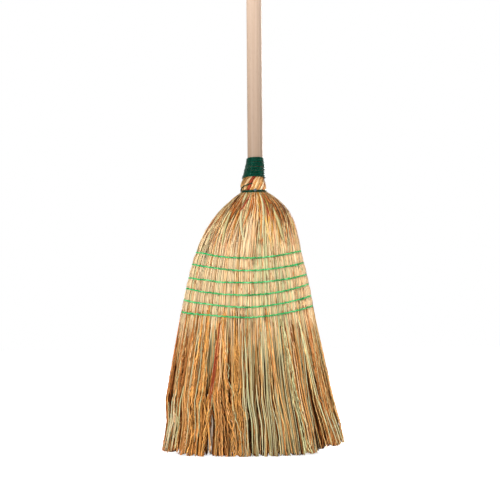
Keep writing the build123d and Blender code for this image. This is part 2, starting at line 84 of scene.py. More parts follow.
# Long stalks: the number and width in each layer, from the outside in, then those that reach the tips
STALK_LAYERS = ((80, 1.5), (58, 2.5), (66, 2.6), (72, 2.7), (78, 2.7), (84, 2.7), (90, 2.8))
SHOULDER_STOPS = (461.0, 456.0, 450.0, 443.0, 434.0, 422.0, 408.0, 390.0, 372.0)
LOOSE_SHARES = (0.1, 0.24, 0.4, 0.56, 0.72, 0.87, 1.0)
TO_TIP, TO_TIP_GREEN, TO_TIP_RISE, STALK_END = 0.14, 0.5, (0, 4), (85, 210)
STALK_LOW, SEWN_FROM, SEWN_TO = (LAST_ROW_Z, -150), (205, 30), (375, -40)
STALK_SWAY, STALK_SWAY_HIGH, STALK_SWAY_LOW = 0.7, 2.4, 2.0
STALK_DRIFT, STALK_CROSSING = 4.0, 0.13
STALK_INSET, STALK_UNEVEN, SEWN_FLAT = 1.0, 0.35, 0.6
STALK_SIZES, STALK_THICK = (0.55, 1.35), 0.36
STALK_TOP, STALK_TOP_WIDTH = (TIE_Z, -75), 0.6
STALK_TAPER, STALK_NARROW, STALK_POINT = (LAST_ROW_Z, -120), (0.6, 0.35), (0.8, 0.2)
COVER_LAYERS, SHOULDER_LIFT = 2, np.array([1.15, 1.05, 0.95])
TOP_SPREAD, SEWN_SPREAD, LOW_SPREAD = 0.12, 0.07, 0.14
SEWN_HUE, SEWN_HUE_FADE = (240, 340), -30
TOP_HUE, TOP_HUE_FADE = (322, 388), 45
LOW_HUE, LOW_HUE_FADE = (205, 262), -60
LAYER_SHADE, LAYER_SHADE_HIGH, LAYER_SHADE_LOW = 0.02, 0.07, 0.2
TIE_SHADE, TIE_SHADE_FROM = 0.3, (440, 15)
FLANK_FROM, FLANK_ASIDE = (390, 45), (0.15, 0.35)
FLANK_SHADE, FLANK_DARK, FLANK_DARK_SHARE = 0.24, 0.46, 0.3

# Dark strands among the stalks, painted shade in the splits between them and bits of husk: their number,
# heights, length and width
FLECKS = (
    (330, (215.0, 350.0), 8.0, 0.65),
    (80, (345.0, 440.0), 26.0, 0.8),
    (34, (425.0, 452.0), 24.0, 1.6),
)
FLECK_STATIONS, FLECK_LENGTHS, FLECK_SWAY, FLECK_INSET = 6, 2.0, 0.5, (-0.1, 0.5)
FLECK_SIZES, FLECK_POINT, FLECK_THICK, FLECK_SPREAD = (0.6, 1.3), 0.1, 0.2, 0.25
POINT_LENGTH = 0.8

# Loose straw: each layer's share of the thickness, clumps, fibres in a clump, depth, reeds and stations
LOOSE_LAYERS = (
    (1.0, 22, 27, 0.0, 1.0, 56),
    (0.9, 24, 24, 4.5, 0.5, 36),
    (0.62, 30, 16, 5.0, 0.5, 18),
    (0.25, 30, 14, 5.0, 0.5, 14),
)
OUTER_LAYERS = 2
CLUMP_Z, CLUMP_TOP_RADIUS, CLUMP_RADIUS, CLUMP_SIZES = 250.0, 5.0, 10.0, (0.8, 1.25)
CLUMP_SLANT, CLUMP_SINK, CLUMP_ROUND, CLUMP_EDGE = 9.0, 2.0, 0.5, 0.98
BUNCHES, BUNCH_SPREAD, BUNCH_SWAY, BUNCH_WAVES = 6, 0.11, 2.2, 5
BUNCH_LIGHT, BUNCH_LIMITS, OWN_TINT = 0.16, (0.5, 1.15), 0.6
REED_PLACES = (-1.0, -0.14, -0.06, 0.44, 0.52, 0.68, 0.78, 1.0)
REED_SHARES = (0.06, 0.03, 1.0, 1.0, 0.06, 0.06, 0.5, 0.5)
REED_CLUMP, REED_CLUMP_FIBRES = 0.5, 0.25
EMERGE_Z, EMERGE_REACH, EMERGE_SINK = (180.0, 252.0), 30.0, 8.0
FIBRE_LEAN, REED_LEAN, LEAN_CURVE = 6.0, 15.0, 1.4
FIBRE_SWAY, REED_SWAY, LOOSE_WAVES, LOOSE_DRIFT = 1.2, 2.0, 4, 1.5
FREE_LENGTH, FREE_SINK = 0.7, 0.4
CRINKLE, CRINKLE_LENGTH, CRINKLE_DEPTH = 0.5, 0.4, 0.6
CRINKLE_SHAPE, CRINKLE_MOST = (3.0, 0.33), 1.6
RIPPLE_WAVES, RIPPLE_LENGTH, RIPPLE_SLOPE = 4, (18.0, 75.0), 0.012
FIBRE_SINK, REEDS_OUTSIDE, REED_SINK, REED_SINK_DEEP = (1.3, 2.1), 0.6, (0, 1.2), (4, 8)
FRONT_LIGHT, SHADE_DEPTH, LIGHT_LIMITS = 2.8, 2.0, (0.06, 1.14)
FIBRE_LIGHT, REED_LIGHT = 0.2, 0.3
REED_BROAD, REED_BROAD_WIDTH, REED_WIDTH, REED_TAPER = 0.15, (2.0, 2.8), (1.0, 1.9), 0.25
FIBRE_WIDTH, FIBRE_TAPER, FIBRE_UNEVEN, FIBRE_LIMITS = (0.8, 1.6), 0.2, 0.22, (0.5, 1.6)
SPECKLE, SPECKLE_LIMITS = 0.2, (0.4, 1.5)
ROOT_WIDTH, ROOT_LENGTH, LOOSE_THICK = 0.25, 0.12, 0.55

# Short side fibres on each loose fibre, all below its first quarter
TWIGS, TWIG_STATIONS, TWIG_FREE = 2, 6, 4
TWIG_SLANT, TWIG_CURVE, TWIG_CRINKLE = 3.5, 1.2, 0.3
TWIG_LIFT, TWIG_WIDTH, TWIG_TAPER, TWIG_THICK = (-1.2, 1.0), (0.6, 1.1), 0.75, 0.6
TWIG_LIGHT, TWIG_LIMITS = 0.2, (0.5, 1.2)

# Single stalks that stand out, stalk ends on the neck and packed inside straw
LONE_STATIONS, LONE_SWAY, LONE_POINT, LONE_ROUND = 12, 1.2, 0.12, 0.7
LONE_SPREAD, LONE_THICK = 0.05, 0.35
NECK_STALKS, NECK_STATIONS, NECK_SPAN = 70, 7, (456.5, 492.0)
NECK_STRAY, NECK_INSET, NECK_SLANT, NECK_WIDTH = 0.05, (0.3, 1.8), (0.7, 1.3), (2.2, 5.0)
NECK_SPREAD, NECK_SHADE, NECK_SHADE_FROM, NECK_THICK = 0.15, 0.32, (462, 16), 0.25
PACKS, PACK_STATIONS, PACK_SPAN, PACK_EDGE = 44, 16, (455.0, 85.0), 0.94
PACK_DEPTHS, PACK_LOW = (-0.8, -0.45, 0.0, 0.45, 0.8), (LAST_ROW_Z, -140)
PACK_INSET, PACK_INSET_LOW = 7.0, 4.0
PACK_WIDTH, PACK_WIDTH_LOW, PACK_THICK, PACK_THICK_LOW = 1.9, 1.2, 6.5, 3.0
PACK_SHADE, PACK_SPREAD, PACKED_FROM = 0.45, 0.2, (200, 40)

# Coated wire
END_ROUND = ((0.7, 0.03), (0.5, 0.65), (0.25, 0.9))
WIRE_RADIUS, WIRE_PITCH, WIRE_SIDES = 0.95, 2.3, 8
WIRE_SINK, WIRE_SINK_TURN = 2.6, 0.14
WINDING_TURNS, WINDING_BEND, WINDING_Z = 16.5, 0.68, 482.5
WINDING_RADIUS, WINDING_LEAN = (20.6, 16.1, 15.2), (-3.1, -0.2, 0.0)
WINDING_STEPS, WINDING_UNEVEN, WINDING_THICK = 44, 0.25, 1.12
TIE_TURNS_Z, TIE_PITCH, TIE_DIP, TIE_SINK = 456.0, 1.95, 2.8, 2.4
TIE_START, TIE_END, TIE_STEPS, TIE_CLEAR = -math.pi / 2 + 0.24, 5 * math.pi, 140, 1.5
TAIL_STEPS, TAIL_TURN, TAIL_RISE, TAIL_TUCK, TAIL_TUCK_FROM = 16, 1.5, 8.6, 2.4, 0.85

# Sewing twine, and each knot's row, place and number of tails
PLY_RADIUS, PLY_APART, TWINE_SIDES, TWINE_TWIST = 0.85, 0.72, 5, 9.0
TWINE_SINK, TWINE_STEP, ROW_STEPS = 3.0, 1.5, 400
STITCH_LENGTH, STITCH_OUT, STITCH_DIP, STITCH_SLANT = 11.0, 0.7, 3.2, 1.1
STITCH_PITCH, STITCH_EDGE, STITCH_STEPS = 22.0, 0.9, 8
SLACK_STEP, SLACK = 20, 0.4
KNOTS = ((1, 0.835, 3), (2, 0.66, 2), (4, 0.845, 3), (5, -0.84, 3))
KNOT_SIZE, KNOT_STEPS, KNOT_LIFT, KNOT_THICK = 0.6, 36, 1.6, 0.8
FRAY_STEPS, FRAY_START, FRAY_FALL, FRAY_THICK, FRAY_TAPER = 9, 1.2, 0.4, 0.75, 0.4
FRAY_LENGTH, FRAY_SLOPE, FRAY_LIFT = (6, 13), (-0.5, 0.5), (0.15, 0.35)

# Camera and frame of the photograph
CAMERA_X, CAMERA_Y, CAMERA_Z = -10.7, -1300.0, 217.3
CAMERA_PITCH, CAMERA_ROLL = 6.0, -0.43
FOCAL_PIXELS, FRAME_PIXELS, SENSOR_MM = 733.9, 500.0, 36.0

# Studio, in metres: each softbox with its azimuth from the camera's side, elevation, distance, size and power
SOFTBOXES = (
    ("softbox_left", -36, 14, 1.8, (0.5, 0.9), 31.0),
    ("softbox_right", 71, 16, 1.8, (0.5, 0.9), 15.0),
    ("softbox_back", 155, 25, 2.0, (0.9, 0.9), 38.0),
    ("softbox_top", 0, 80, 2.3, (0.8, 0.8), 10.0),
)
LIGHT_TARGET = Vector((0.0, 0.0, 0.35))
SURROUND_LIGHT, FLOOR_LIFT, FLOOR_REACH = 0.22, 0.8, 6.0
FLOOR_TINT, WHITE = (0.9, 0.9, 0.9, 1.0), (1.0, 1.0, 1.0, 1.0)

# Colours as seen, from 0 to 255
CREAM = (255, 229, 184)
SAND = (255, 220, 172)
PEACH = (252, 206, 152)
TAN = (232, 184, 118)
GOLD = (236, 186, 92)
OLIVE = (200, 184, 130)
SLIT_SHADE_GREY = (206, 186, 164)
PALE_GREEN = (216, 210, 156)
SAGE = (214, 209, 158)
REED = (212, 202, 156)
RUST = (210, 124, 62)
RED = (176, 74, 48)
BARK = (128, 76, 36)
# Darkest brown: painted shade in gaps on the shoulders, and among the flecks both painted shade and husk
SHADE_AND_HUSK = (92, 54, 28)
PACKED = (168, 112, 62)
AMBER = (228, 162, 94)
BROWN = (202, 130, 70)
HONEY = (240, 172, 92)
WOOD_LIGHT, WOOD_DARK = (208, 182, 162), (196, 168, 145)
WIRE_GREEN, STEEL = (2, 52, 37), (84, 92, 100)
TWINE_TINTS = (26, 142, 76), (52, 186, 102), (128, 222, 152)

# Stops of the materials' ramps, in linear values, and lighter and darker shades of one colour
NOISE_RANGE, TWINE_RANGE = (0.3, 0.7), (0.34, 0.5, 0.68)
WOOD_MARKS = ((0.26, (0.72, 0.72, 0.72)), (0.38, (1.0, 1.0, 1.0)))
# Painted shade on the handle: darker towards its lower end, where less light falls
HANDLE_FALLOFF_SHADE = ((0.5, (0.525, 0.505, 0.475)), (0.85, (1.0, 1.0, 1.0)))
WIRE_SHADES, STEEL_SHADES = (0.7, 1.35), (0.8, 1.15)

# Sockets of a mix node that hold colours
MIX_FIRST, MIX_SECOND, MIX_RESULT = 6, 7, 2

# Single stalks on the front: place and height at the top, place and height at the end, width, colour
ACCENTS = (
    (-0.40, 224, -0.47, 95, 2.2, RED), (-0.39, 190, -0.465, 80, 1.6, RED),
    (0.45, 452, 0.62, 405, 2.6, RUST), (0.60, 440, 0.66, 395, 2.4, BARK),
    (0.30, 450, 0.40, 410, 2.4, RED), (-0.25, 450, -0.38, 400, 2.4, RED),
    (-0.45, 448, -0.50, 400, 2.6, BARK), (-0.10, 452, -0.16, 390, 2.2, RUST),
    (0.20, 440, 0.23, 360, 2.0, RUST), (-0.46, 454, -0.09, 362, 4.6, REED),
    (0.27, 452, 0.236, 370, 4.2, REED), (-0.60, 424, -0.51, 360, 5.0, OLIVE),
    (0.52, 432, 0.675, 364, 5.0, OLIVE), (-0.76, 450, -0.64, 422, 4.0, SHADE_AND_HUSK),
    (0.62, 434, 0.66, 410, 3.4, SHADE_AND_HUSK), (0.72, 420, 0.75, 400, 3.0, BARK),
    (-0.70, 215, -0.735, 8, 2.0, REED), (-0.77, 195, -0.80, 8, 1.8, TAN),
    (-0.61, 175, -0.65, 25, 1.6, REED), (-0.08, 215, -0.06, 3, 2.0, REED),
    (-0.03, 200, -0.02, 2, 2.0, SAGE), (0.03, 110, 0.04, 2, 2.2, REED),
    (0.09, 120, 0.085, 2, 2.2, REED), (-0.36, 225, -0.37, 110, 2.2, PEACH),
    (-0.33, 220, -0.335, 120, 2.0, TAN), (-0.30, 228, -0.30, 130, 2.0, PEACH),
    (0.62, 190, 0.63, 14, 2.0, AMBER), (0.59, 170, 0.595, 12, 1.8, PEACH),
    (0.65, 180, 0.66, 16, 2.0, AMBER), (0.90, 60, 0.95, 18, 2.4, REED),
    (0.93, 70, 0.975, 19, 2.2, PALE_GREEN), (0.86, 75, 0.90, 15, 2.2, REED),
    (-0.02, 410, 0.0, 335, 5.0, SAND), (0.06, 405, 0.07, 330, 4.5, PEACH),
    (-0.09, 400, -0.07, 340, 4.5, SAND), (-0.90, 104, -0.99, 9, 2.4, REED),
    (-0.87, 112, -0.965, 8, 2.0, CREAM), (-0.92, 92, -0.935, 7, 2.6, REED),
    (-0.84, 98, -0.905, 6, 2.2, OLIVE), (-0.88, 84, -0.89, 6, 2.2, SAND),
    (-0.955, 90, -0.98, 8, 2.0, PALE_GREEN), (-0.94, 70, -0.955, 7, 2.0, CREAM),
    (-0.80, 118, -0.86, 10, 2.0, PALE_GREEN),
)
# Stalks behind the slit in a grey that paints the shade seen through it, and two that cross it
SLIT_STALKS = (
    (-0.475, 120, -0.475, 5, 3.0, SLIT_SHADE_GREY), (-0.488, 112, -0.497, 7, 3.2, SLIT_SHADE_GREY),
    (-0.500, 116, -0.486, 4, 2.6, SLIT_SHADE_GREY), (-0.510, 104, -0.510, 6, 2.6, SLIT_SHADE_GREY),
)
SLIT_CROSSING = ((-0.545, 92, -0.462, 10, 2.0, HONEY), (-0.535, 84, -0.470, 8, 1.6, HONEY))
# Each set with its depth under the front face
LONE_STALKS = ((ACCENTS, 0.4), (SLIT_STALKS, 6.0), (SLIT_CROSSING, 1.0))

# Tints with their weight anywhere and their added weight in the green stretch right of the middle
NECK_TINTS = (
    (PEACH, 2.0, 0), (TAN, 2.4, 0), (AMBER, 2.0, 0), (RUST, 1.6, 0), (RED, 0.8, 0), (CREAM, 0.2, 0),
)
COVER_TINTS = (
    (PEACH, 5.0, 0), (SAND, 4.0, 0), (CREAM, 1.0, 0), (AMBER, 0.8, 0), (RUST, 0.7, 0), (RED, 0.35, 0),
    (BARK, 0.3, 0), (OLIVE, 0.5, 0), (GOLD, 1.4, 0),
)
TOP_TINTS = (
    (PEACH, 3.0, 0), (CREAM, 1.4, 0), (TAN, 1.6, 0), (AMBER, 1.2, 0), (RUST, 0.9, 0), (RED, 0.4, 0),
    (BARK, 0.9, 0), (OLIVE, 0.7, 0), (GOLD, 0.6, 0),
)
SEWN_TINTS = (
    (SAND, 5.0, 0), (CREAM, 2.0, 0), (PEACH, 2.4, 0), (TAN, 0.4, 0), (SAGE, 0.2, 12), (RUST, 0.05, 0),
)
REED_TINTS = (
    (REED, 1.2, 8), (PALE_GREEN, 0.4, 0.5), (OLIVE, 0.6, 1), (TAN, 1.6, 0), (AMBER, 1.6, 0), (BROWN, 0.8, 0),
)
FIBRE_TINTS = (
    (AMBER, 2.6, 0), (BROWN, 2.2, 0), (TAN, 1.4, 0), (PEACH, 0.4, 0), (PALE_GREEN, 0.2, 1), (OLIVE, 0.2, 1),
    (RUST, 0.25, 0),
)
FLECK_TINTS = ((SHADE_AND_HUSK, 0.4, 0), (BARK, 1.6, 0), (BROWN, 2.0, 0), (RUST, 2.0, 0))

HANK_NAMES = ("left", "centre", "right")
BUNDLES = ("left_shoulder_bundle", "core_bundle", "right_shoulder_bundle")

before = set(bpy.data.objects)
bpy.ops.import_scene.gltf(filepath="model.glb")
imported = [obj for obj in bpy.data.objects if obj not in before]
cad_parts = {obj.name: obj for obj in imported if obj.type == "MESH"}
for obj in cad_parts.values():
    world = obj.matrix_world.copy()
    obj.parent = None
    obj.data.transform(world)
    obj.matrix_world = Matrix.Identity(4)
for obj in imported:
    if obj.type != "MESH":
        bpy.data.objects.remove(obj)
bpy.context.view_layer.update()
rng = np.random.default_rng(SEED)


def linear(colour):
    """Linear red, green and blue of a colour as seen, by the sRGB curve."""
    share = np.asarray(colour, float) / 255
    return np.where(share <= 0.04045, share / 12.92, ((share + 0.055) / 1.055) ** 2.4)


def smooth(share):
    """Ease from 0 to 1."""
    share = np.clip(share, 0.0, 1.0)
    return share * share * (3 - 2 * share)


def past(value, start, fade):
    """Ease from 0 to 1 as a value goes past a start, downwards where the fade is negative."""
    return smooth((value - start) / fade)


def unit(vectors):
    """Vectors of length 1."""
    length = np.linalg.norm(vectors, axis=-1, keepdims=True)
    return vectors / np.maximum(length, 1e-9)


def shares(stations):
    """Even shares of a strand's length, from 0 at its top to 1 at its end."""
    return np.linspace(0, 1, stations)[None, :]


def drawn(count, limits):
    """One random value between limits for each strand."""
    return rng.uniform(*limits, (count, 1))


def strayed(count, spread, middle=0.0):
    """One random value about a middle for each strand."""
    return rng.normal(middle, spread, (count, 1))


def swell(share, straight, power):
    """Growth from 0 to 1 that starts fast and ends as a straight slope."""
    fast = 1 - (1 - share) ** power
    return fast + (share - fast) * straight


def head_shape(z):
    """Left reach, right reach and half thickness of the straw at heights."""
    z = np.asarray(z, float)
    shoulder = np.clip((TIE_Z - z) / (TIE_Z - FIRST_ROW_Z), 0, 1)
    sewn = np.clip((FIRST_ROW_Z - z) / (FIRST_ROW_Z - LAST_ROW_Z), 0, 1)
    sewn = sewn + SEWN_BULGE * sewn * (1 - sewn)
    radius, lean = np.interp(z, NECK_Z, NECK_RADIUS), np.interp(z, NECK_Z, NECK_LEAN)
    necks = (radius - lean, radius + lean, radius)
    sizes = []
    for tie, first, last, *lower, straight, power, neck in zip(
            TIE, FIRST_ROW, LAST_ROW, SPREAD, WAIST, TIP, SHOULDER_STRAIGHT, SHOULDER_ROUND, necks):
        size = tie + (first - tie) * swell(shoulder, straight, power)
        size = np.where(z < FIRST_ROW_Z, first + (last - first) * sewn, size)
        loose = np.interp(z, (0.0, WAIST_Z, SPREAD_Z, LAST_ROW_Z), (*lower[::-1], last))
        size = np.where(z < LAST_ROW_Z, loose, size)
        sizes.append(np.where(z > TIE_Z, neck, size))
    return sizes


def half_width(z):
    """Half of the head's width at heights."""
    left, right, _ = head_shape(z)
    return (left + right) / 2


def row_height(row, across):
    """Height of a sewing row at places across the head: its sides are drawn up."""
    rise = np.where(across < 0, ROW_RISE_LEFT[row], ROW_RISE_RIGHT[row])
    return ROW_HEIGHTS[row] + rise * np.abs(across) ** ROW_CURVE


def cut_height(x):
    """Height of the trimmed tips, which rise to both sides."""
    away = x - CUT_MIDDLE_X
    rise = np.where(away < 0, CUT_RISE_LEFT, CUT_RISE_RIGHT)
    reach = np.where(away < 0, TIP_LEFT + CUT_MIDDLE_X, TIP_RIGHT - CUT_MIDDLE_X)
    return rise * np.abs(away / reach) ** CUT_CURVE


def moved(across, aside, z):
    """Places across the head after steps in millimetres along its face, and how far in front of its edge they
    lie. A step past the edge goes on round it, to the other face."""
    left, right, depth = head_shape(z)
    angle = np.arcsin(across)
    along = np.hypot((left + right) / 2 * np.cos(angle), depth * np.sin(angle))
    angle = angle + aside / along
    return np.sin(angle), np.cos(angle)


def in_head(place, depth_share, inset, z):
    """Points in the straw head and the ways out of it there."""
    across, before = place
    left, right, depth = head_shape(z)
    middle, half = (right - left) / 2, (right + left) / 2 - inset
    depth = depth - inset
    points = np.stack([middle + half * across, depth * before * depth_share, z], axis=-1)
    ways = np.stack([across / half, before * depth_share / depth, np.zeros_like(z)], axis=-1)
    return points, unit(ways)


def sway(count, stations, waves):
    """Smooth sideways wander along each of count strands, about 1 at most."""
    total = np.zeros((count, stations))
    for wave in range(1, waves + 1):
        phase = drawn(count, (0, math.tau))
        size = strayed(count, SWAY_SIZE / wave)
        total += size * np.sin(math.tau * wave * SWAY_PITCH * shares(stations) + phase)
    return total


class Strands:
    """Three-sided strands of one piece, gathered in batches of equal length."""

    def __init__(self):
        self.batches = []

    def add(self, points, ways, widths, thick, colours):
        """points and ways: strand, station, xyz. widths and thick: strand, station. colours: with rgb."""
        if len(points):
            self.batches.append((points, ways, widths, thick, colours))

    def make(self, name, material):
        """One mesh object of all strands, with a colour on each vertex and a map for baking, one cell for
        each strand.
        """
        places, colours, corners, sizes, maps = [], [], [], [], []
        total = sum(len(batch[0]) for batch in self.batches)
        columns = math.ceil(math.sqrt(total * CELL_SHAPE))
        grid = np.array([columns, math.ceil(total / columns)])
        first_vertex, first_cell = 0, 0
        for points, ways, widths, thick, shade in self.batches:
            count, stations, _ = points.shape
            along = unit(np.gradient(points, axis=1))
            across = unit(np.cross(along, ways))
            out = np.cross(across, -along)
            half = across * widths[..., None] / 2
            ring = np.stack([points - half, points + out * thick[..., None], points + half], axis=2)
            places.append(ring.reshape(-1, 3))
            colours.append(np.repeat(shade[:, :, None, :], SIDES, axis=2).reshape(-1, 3))
            index = np.arange(count * stations * SIDES).reshape(count, stations, SIDES)
            index = index + first_vertex
            after = np.roll(index, -1, axis=2)
            quads = np.stack([index[:, :-1], after[:, :-1], after[:, 1:], index[:, 1:]], axis=-1)
            tops, ends = index[:, 0][:, (0, 2, 1)], index[:, -1]
            corners += [quads.ravel(), tops.ravel(), ends.ravel()]
            sizes += [np.full(quads.size // 4, 4), np.full(2 * count, SIDES)]
            start = self.cells(first_cell, grid, count)
            maps += [self.quad_map(start, grid, stations), self.cap_map(start, grid)]
            first_vertex += index.size
            first_cell += count
        mesh = new_mesh(name, np.concatenate(places) * MM, np.concatenate(corners), np.concatenate(sizes))
        paint(mesh, np.concatenate(colours))
        layer = mesh.uv_layers.new(name="OFBake")
        layer.uv.foreach_set("vector", np.concatenate(maps).astype(np.float32).ravel())
        return new_piece(name, mesh, material)

    @staticmethod
    def cells(first, grid, count):
        """Lower corner of each strand's cell on the map."""
        number = first + np.arange(count)
        return np.stack([number % grid[0], number // grid[0]], axis=-1) / grid

    @staticmethod
    def quad_map(start, grid, stations):
        """Map corners of the long faces: across the cell by side, along it by station."""
        side = np.arange(SIDES)[None, :, None] + np.array([0, 1, 1, 0])
        station = np.arange(stations - 1)[:, None, None] + np.array([0, 0, 1, 1])
        corner = np.stack(np.broadcast_arrays(side, station), axis=-1) + CELL_MARGIN
        corner = corner / (np.array([SIDES, stations - 1]) + 2 * CELL_MARGIN)
        return (start[:, None, None, None, :] + corner / grid).reshape(-1, 2)

    @staticmethod
    def cap_map(start, grid):
        """Map corners of the two end faces, in a corner of the cell."""
        caps = (start[:, None, :] + np.array(CAP_CORNERS)[None] / grid).reshape(-1, 2)
        return np.concatenate([caps, caps])


def new_mesh(name, places, corners, sizes):
    """Mesh from vertices in metres, face corners and the number of corners of each face."""
    mesh = bpy.data.meshes.new(name)
    mesh.vertices.add(len(places))
    mesh.vertices.foreach_set("co", places.astype(np.float32).ravel())
    mesh.loops.add(len(corners))
    mesh.loops.foreach_set("vertex_index", corners.astype(np.int32))
    mesh.polygons.add(len(sizes))
    starts = np.concatenate([[0], np.cumsum(sizes)[:-1]])
    mesh.polygons.foreach_set("loop_start", starts.astype(np.int32))
    mesh.polygons.foreach_set("use_smooth", np.ones(len(sizes), bool))
    mesh.update(calc_edges=True)
    mesh.validate()
    return mesh


def paint(mesh, colours):
    """Colour on each vertex, in linear values."""
    layer = mesh.color_attributes.new("tint", "FLOAT_COLOR", "POINT")
    full = np.concatenate([colours, np.ones((len(colours), 1))], axis=1)
    layer.data.foreach_set("color", full.astype(np.float32).ravel())


def new_object(name, data):
    """New object in the scene."""
    thing = bpy.data.objects.new(name, data)
    bpy.context.scene.collection.objects.link(thing)
    return thing


def new_piece(name, mesh, material):
    """Mesh object that rides on the broom's one body."""
    piece = new_object(name, mesh)
    mesh.materials.append(material)
    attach(piece, "root")
    return piece


def ring_ways(points):
    """Ways along a closed path."""
    return unit(np.roll(points, -1, axis=0) - np.roll(points, 1, axis=0))


def tube(points, radius, sides, closed=False):
    """Vertices and faces of a round tube along points, with rounded ends unless it is closed."""
    radius = np.broadcast_to(radius, len(points))
    if closed:
        along = ring_ways(points)
    else:
        start, end = unit(points[0] - points[1]) * radius[0], unit(points[-1] - points[-2]) * radius[-1]
        before = [points[0] + start * step for step, _ in END_ROUND]
        after = [points[-1] + end * step for step, _ in END_ROUND[::-1]]
        points = np.concatenate([before, points, after])
        shrink = np.array([size for _, size in END_ROUND])
        radius = np.concatenate([shrink * radius[0], radius, shrink[::-1] * radius[-1]])
        along = unit(np.gradient(points, axis=0))
    across = unit(np.cross(along, UP))
    over = np.cross(across, along)
    angle = np.arange(sides) * math.tau / sides
    ring = across[:, None] * np.cos(angle)[None, :, None] + over[:, None] * np.sin(angle)[None, :, None]
    places = (points[:, None] + ring * radius[:, None, None]).reshape(-1, 3)
    index = np.arange(len(points) * sides).reshape(len(points), sides)
    after = np.roll(index, -1, axis=1)
    below, below_after = np.roll(index, -1, axis=0), np.roll(after, -1, axis=0)
    quads = np.stack([index, below, below_after, after], axis=-1)
    if not closed:
        quads = quads[:-1]
    return places, quads.reshape(-1, 4)


def tube_piece(name, parts, material):
    """Piece made of tubes."""
    places, faces, first = [], [], 0
    for part_places, part_faces in parts:
        places.append(part_places)
        faces.append(part_faces + first)
        first += len(part_places)
    faces = np.concatenate(faces)
    mesh = new_mesh(name, np.concatenate(places) * MM, faces.ravel(), np.full(len(faces), 4))
    return new_piece(name, mesh, material)


# Materials


def set_input(tree, target, value):
    """Joins an input to another node's output, or gives it a plain value."""
    if isinstance(value, bpy.types.NodeSocket):
        tree.links.new(value, target)
    else:
        target.default_value = value


def add_node(tree, kind, output, inputs=None, **properties):
    """New node with inputs that are joined or set, and the one of its outputs that is used."""
    node = tree.nodes.new(kind)
    for key, value in properties.items():
        setattr(node, key, value)
    for key, value in (inputs or {}).items():
        set_input(tree, node.inputs[key], value)
    return node.outputs[output]


def ranged(tree, value, low, high):
    """A 0 to 1 value brought into a range."""
    return add_node(tree, "ShaderNodeMapRange", "Result", {"Value": value, "To Min": low, "To Max": high})


def shades(colour, lights):
    """One colour in several lights."""
    return [linear(colour) * light for light in lights]


class Nodes:
    """A new material's node tree, with short ways to add nodes."""

    def __init__(self, name):
        self.material = bpy.data.materials.new(name)
        self.material.use_nodes = True
        self.tree = self.material.node_tree

    def place(self):
        """The object's own coordinates, in metres."""
        return add_node(self.tree, "ShaderNodeTexCoord", "Object")

    def height(self):
        """The object's own height, in metres."""
        return add_node(self.tree, "ShaderNodeSeparateXYZ", "Z", {"Vector": self.place()})

    def noise(self, scale, detail, stretch=(1.0, 1.0, 1.0)):
        """Noise on the object's own coordinates, drawn out along one axis or more."""
        place = add_node(self.tree, "ShaderNodeMapping", "Vector", {"Vector": self.place(), "Scale": stretch})
        inputs = {"Vector": place, "Scale": scale, "Detail": detail}
        return add_node(self.tree, "ShaderNodeTexNoise", "Fac", inputs)

    def ramp(self, value, stops):
        """Colour ramp over a value."""
        colour = add_node(self.tree, "ShaderNodeValToRGB", "Color", {"Fac": value})
        elements = colour.node.color_ramp.elements
        while len(elements) < len(stops):
            elements.new(0.5)
        for element, (place, tint) in zip(elements, stops):
            element.position = place
            element.color = (*tint, 1.0)
        return colour

    def fade(self, noise, colours):
        """Two colours over the range that a noise mostly has."""
        return self.ramp(noise, list(zip(NOISE_RANGE, colours)))

    def times(self, first, second, share=1.0):
        """Product of two colours, in part or in full."""
        inputs = {"Factor": share, MIX_FIRST: first, MIX_SECOND: second}
        kinds = {"data_type": "RGBA", "blend_type": "MULTIPLY"}
        return add_node(self.tree, "ShaderNodeMix", MIX_RESULT, inputs, **kinds)

    def tone(self, colour, noise, low, high):
        """A colour made darker and lighter by a noise."""
        return self.times(colour, self.fade(noise, [(light, light, light) for light in (low, high)]))

    def bump(self, height, strength, distance):
        """Fine relief from a height value."""
        inputs = {"Height": height, "Strength": strength, "Distance": distance}
        return add_node(self.tree, "ShaderNodeBump", "Normal", inputs)

    def finish(self, **inputs):
        """The material, with the inputs of its shader joined or set."""
        shader = self.tree.nodes["Principled BSDF"]
        for key, value in inputs.items():
            set_input(self.tree, shader.inputs[key.replace("_", " ")], value)
        return self.material


def straw_material():
    """Dry straw: the colour on each vertex, its own tint with painted shade, fine lengthwise streaks, dull
    with a faint sheen.
    """
    nodes = Nodes("straw")
    tint = add_node(nodes.tree, "ShaderNodeVertexColor", "Color", layer_name="tint")
    streaks = nodes.noise(scale=900.0, detail=3.0, stretch=(1.0, 1.0, 0.03))
    blotches = nodes.noise(scale=60.0, detail=3.0, stretch=(1.0, 1.0, 0.5))
    colour = nodes.tone(tint, streaks, low=0.76, high=1.14)
    return nodes.finish(
        Base_Color=nodes.tone(colour, blotches, low=0.9, high=1.06),
        Roughness=ranged(nodes.tree, streaks, low=0.4, high=0.65),
        Specular_IOR_Level=0.08,
        Normal=nodes.bump(streaks, strength=0.25, distance=0.0004),
    )


def wood_material():
    """Pale beech: soft lengthwise grain, short dark flecks, and painted shade that makes it darker towards
    the straw.
    """
    nodes = Nodes("beech")
    grain = nodes.noise(scale=220.0, detail=4.0, stretch=(1.0, 1.0, 0.02))
    flecks = nodes.noise(scale=1500.0, detail=2.0, stretch=(1.0, 1.0, 0.05))
    broad = nodes.noise(scale=14.0, detail=2.0, stretch=(1.0, 1.0, 0.3))
    colour = nodes.fade(grain, (linear(WOOD_DARK), linear(WOOD_LIGHT)))
    colour = nodes.times(colour, nodes.ramp(flecks, WOOD_MARKS), share=0.8)
    colour = nodes.tone(colour, broad, low=0.94, high=1.03)
    return nodes.finish(
        Base_Color=nodes.times(colour, nodes.ramp(nodes.height(), HANDLE_FALLOFF_SHADE)),
        Roughness=ranged(nodes.tree, grain, low=0.45, high=0.62),
        Specular_IOR_Level=0.25,
        Normal=nodes.bump(grain, strength=0.15, distance=0.0003),
    )


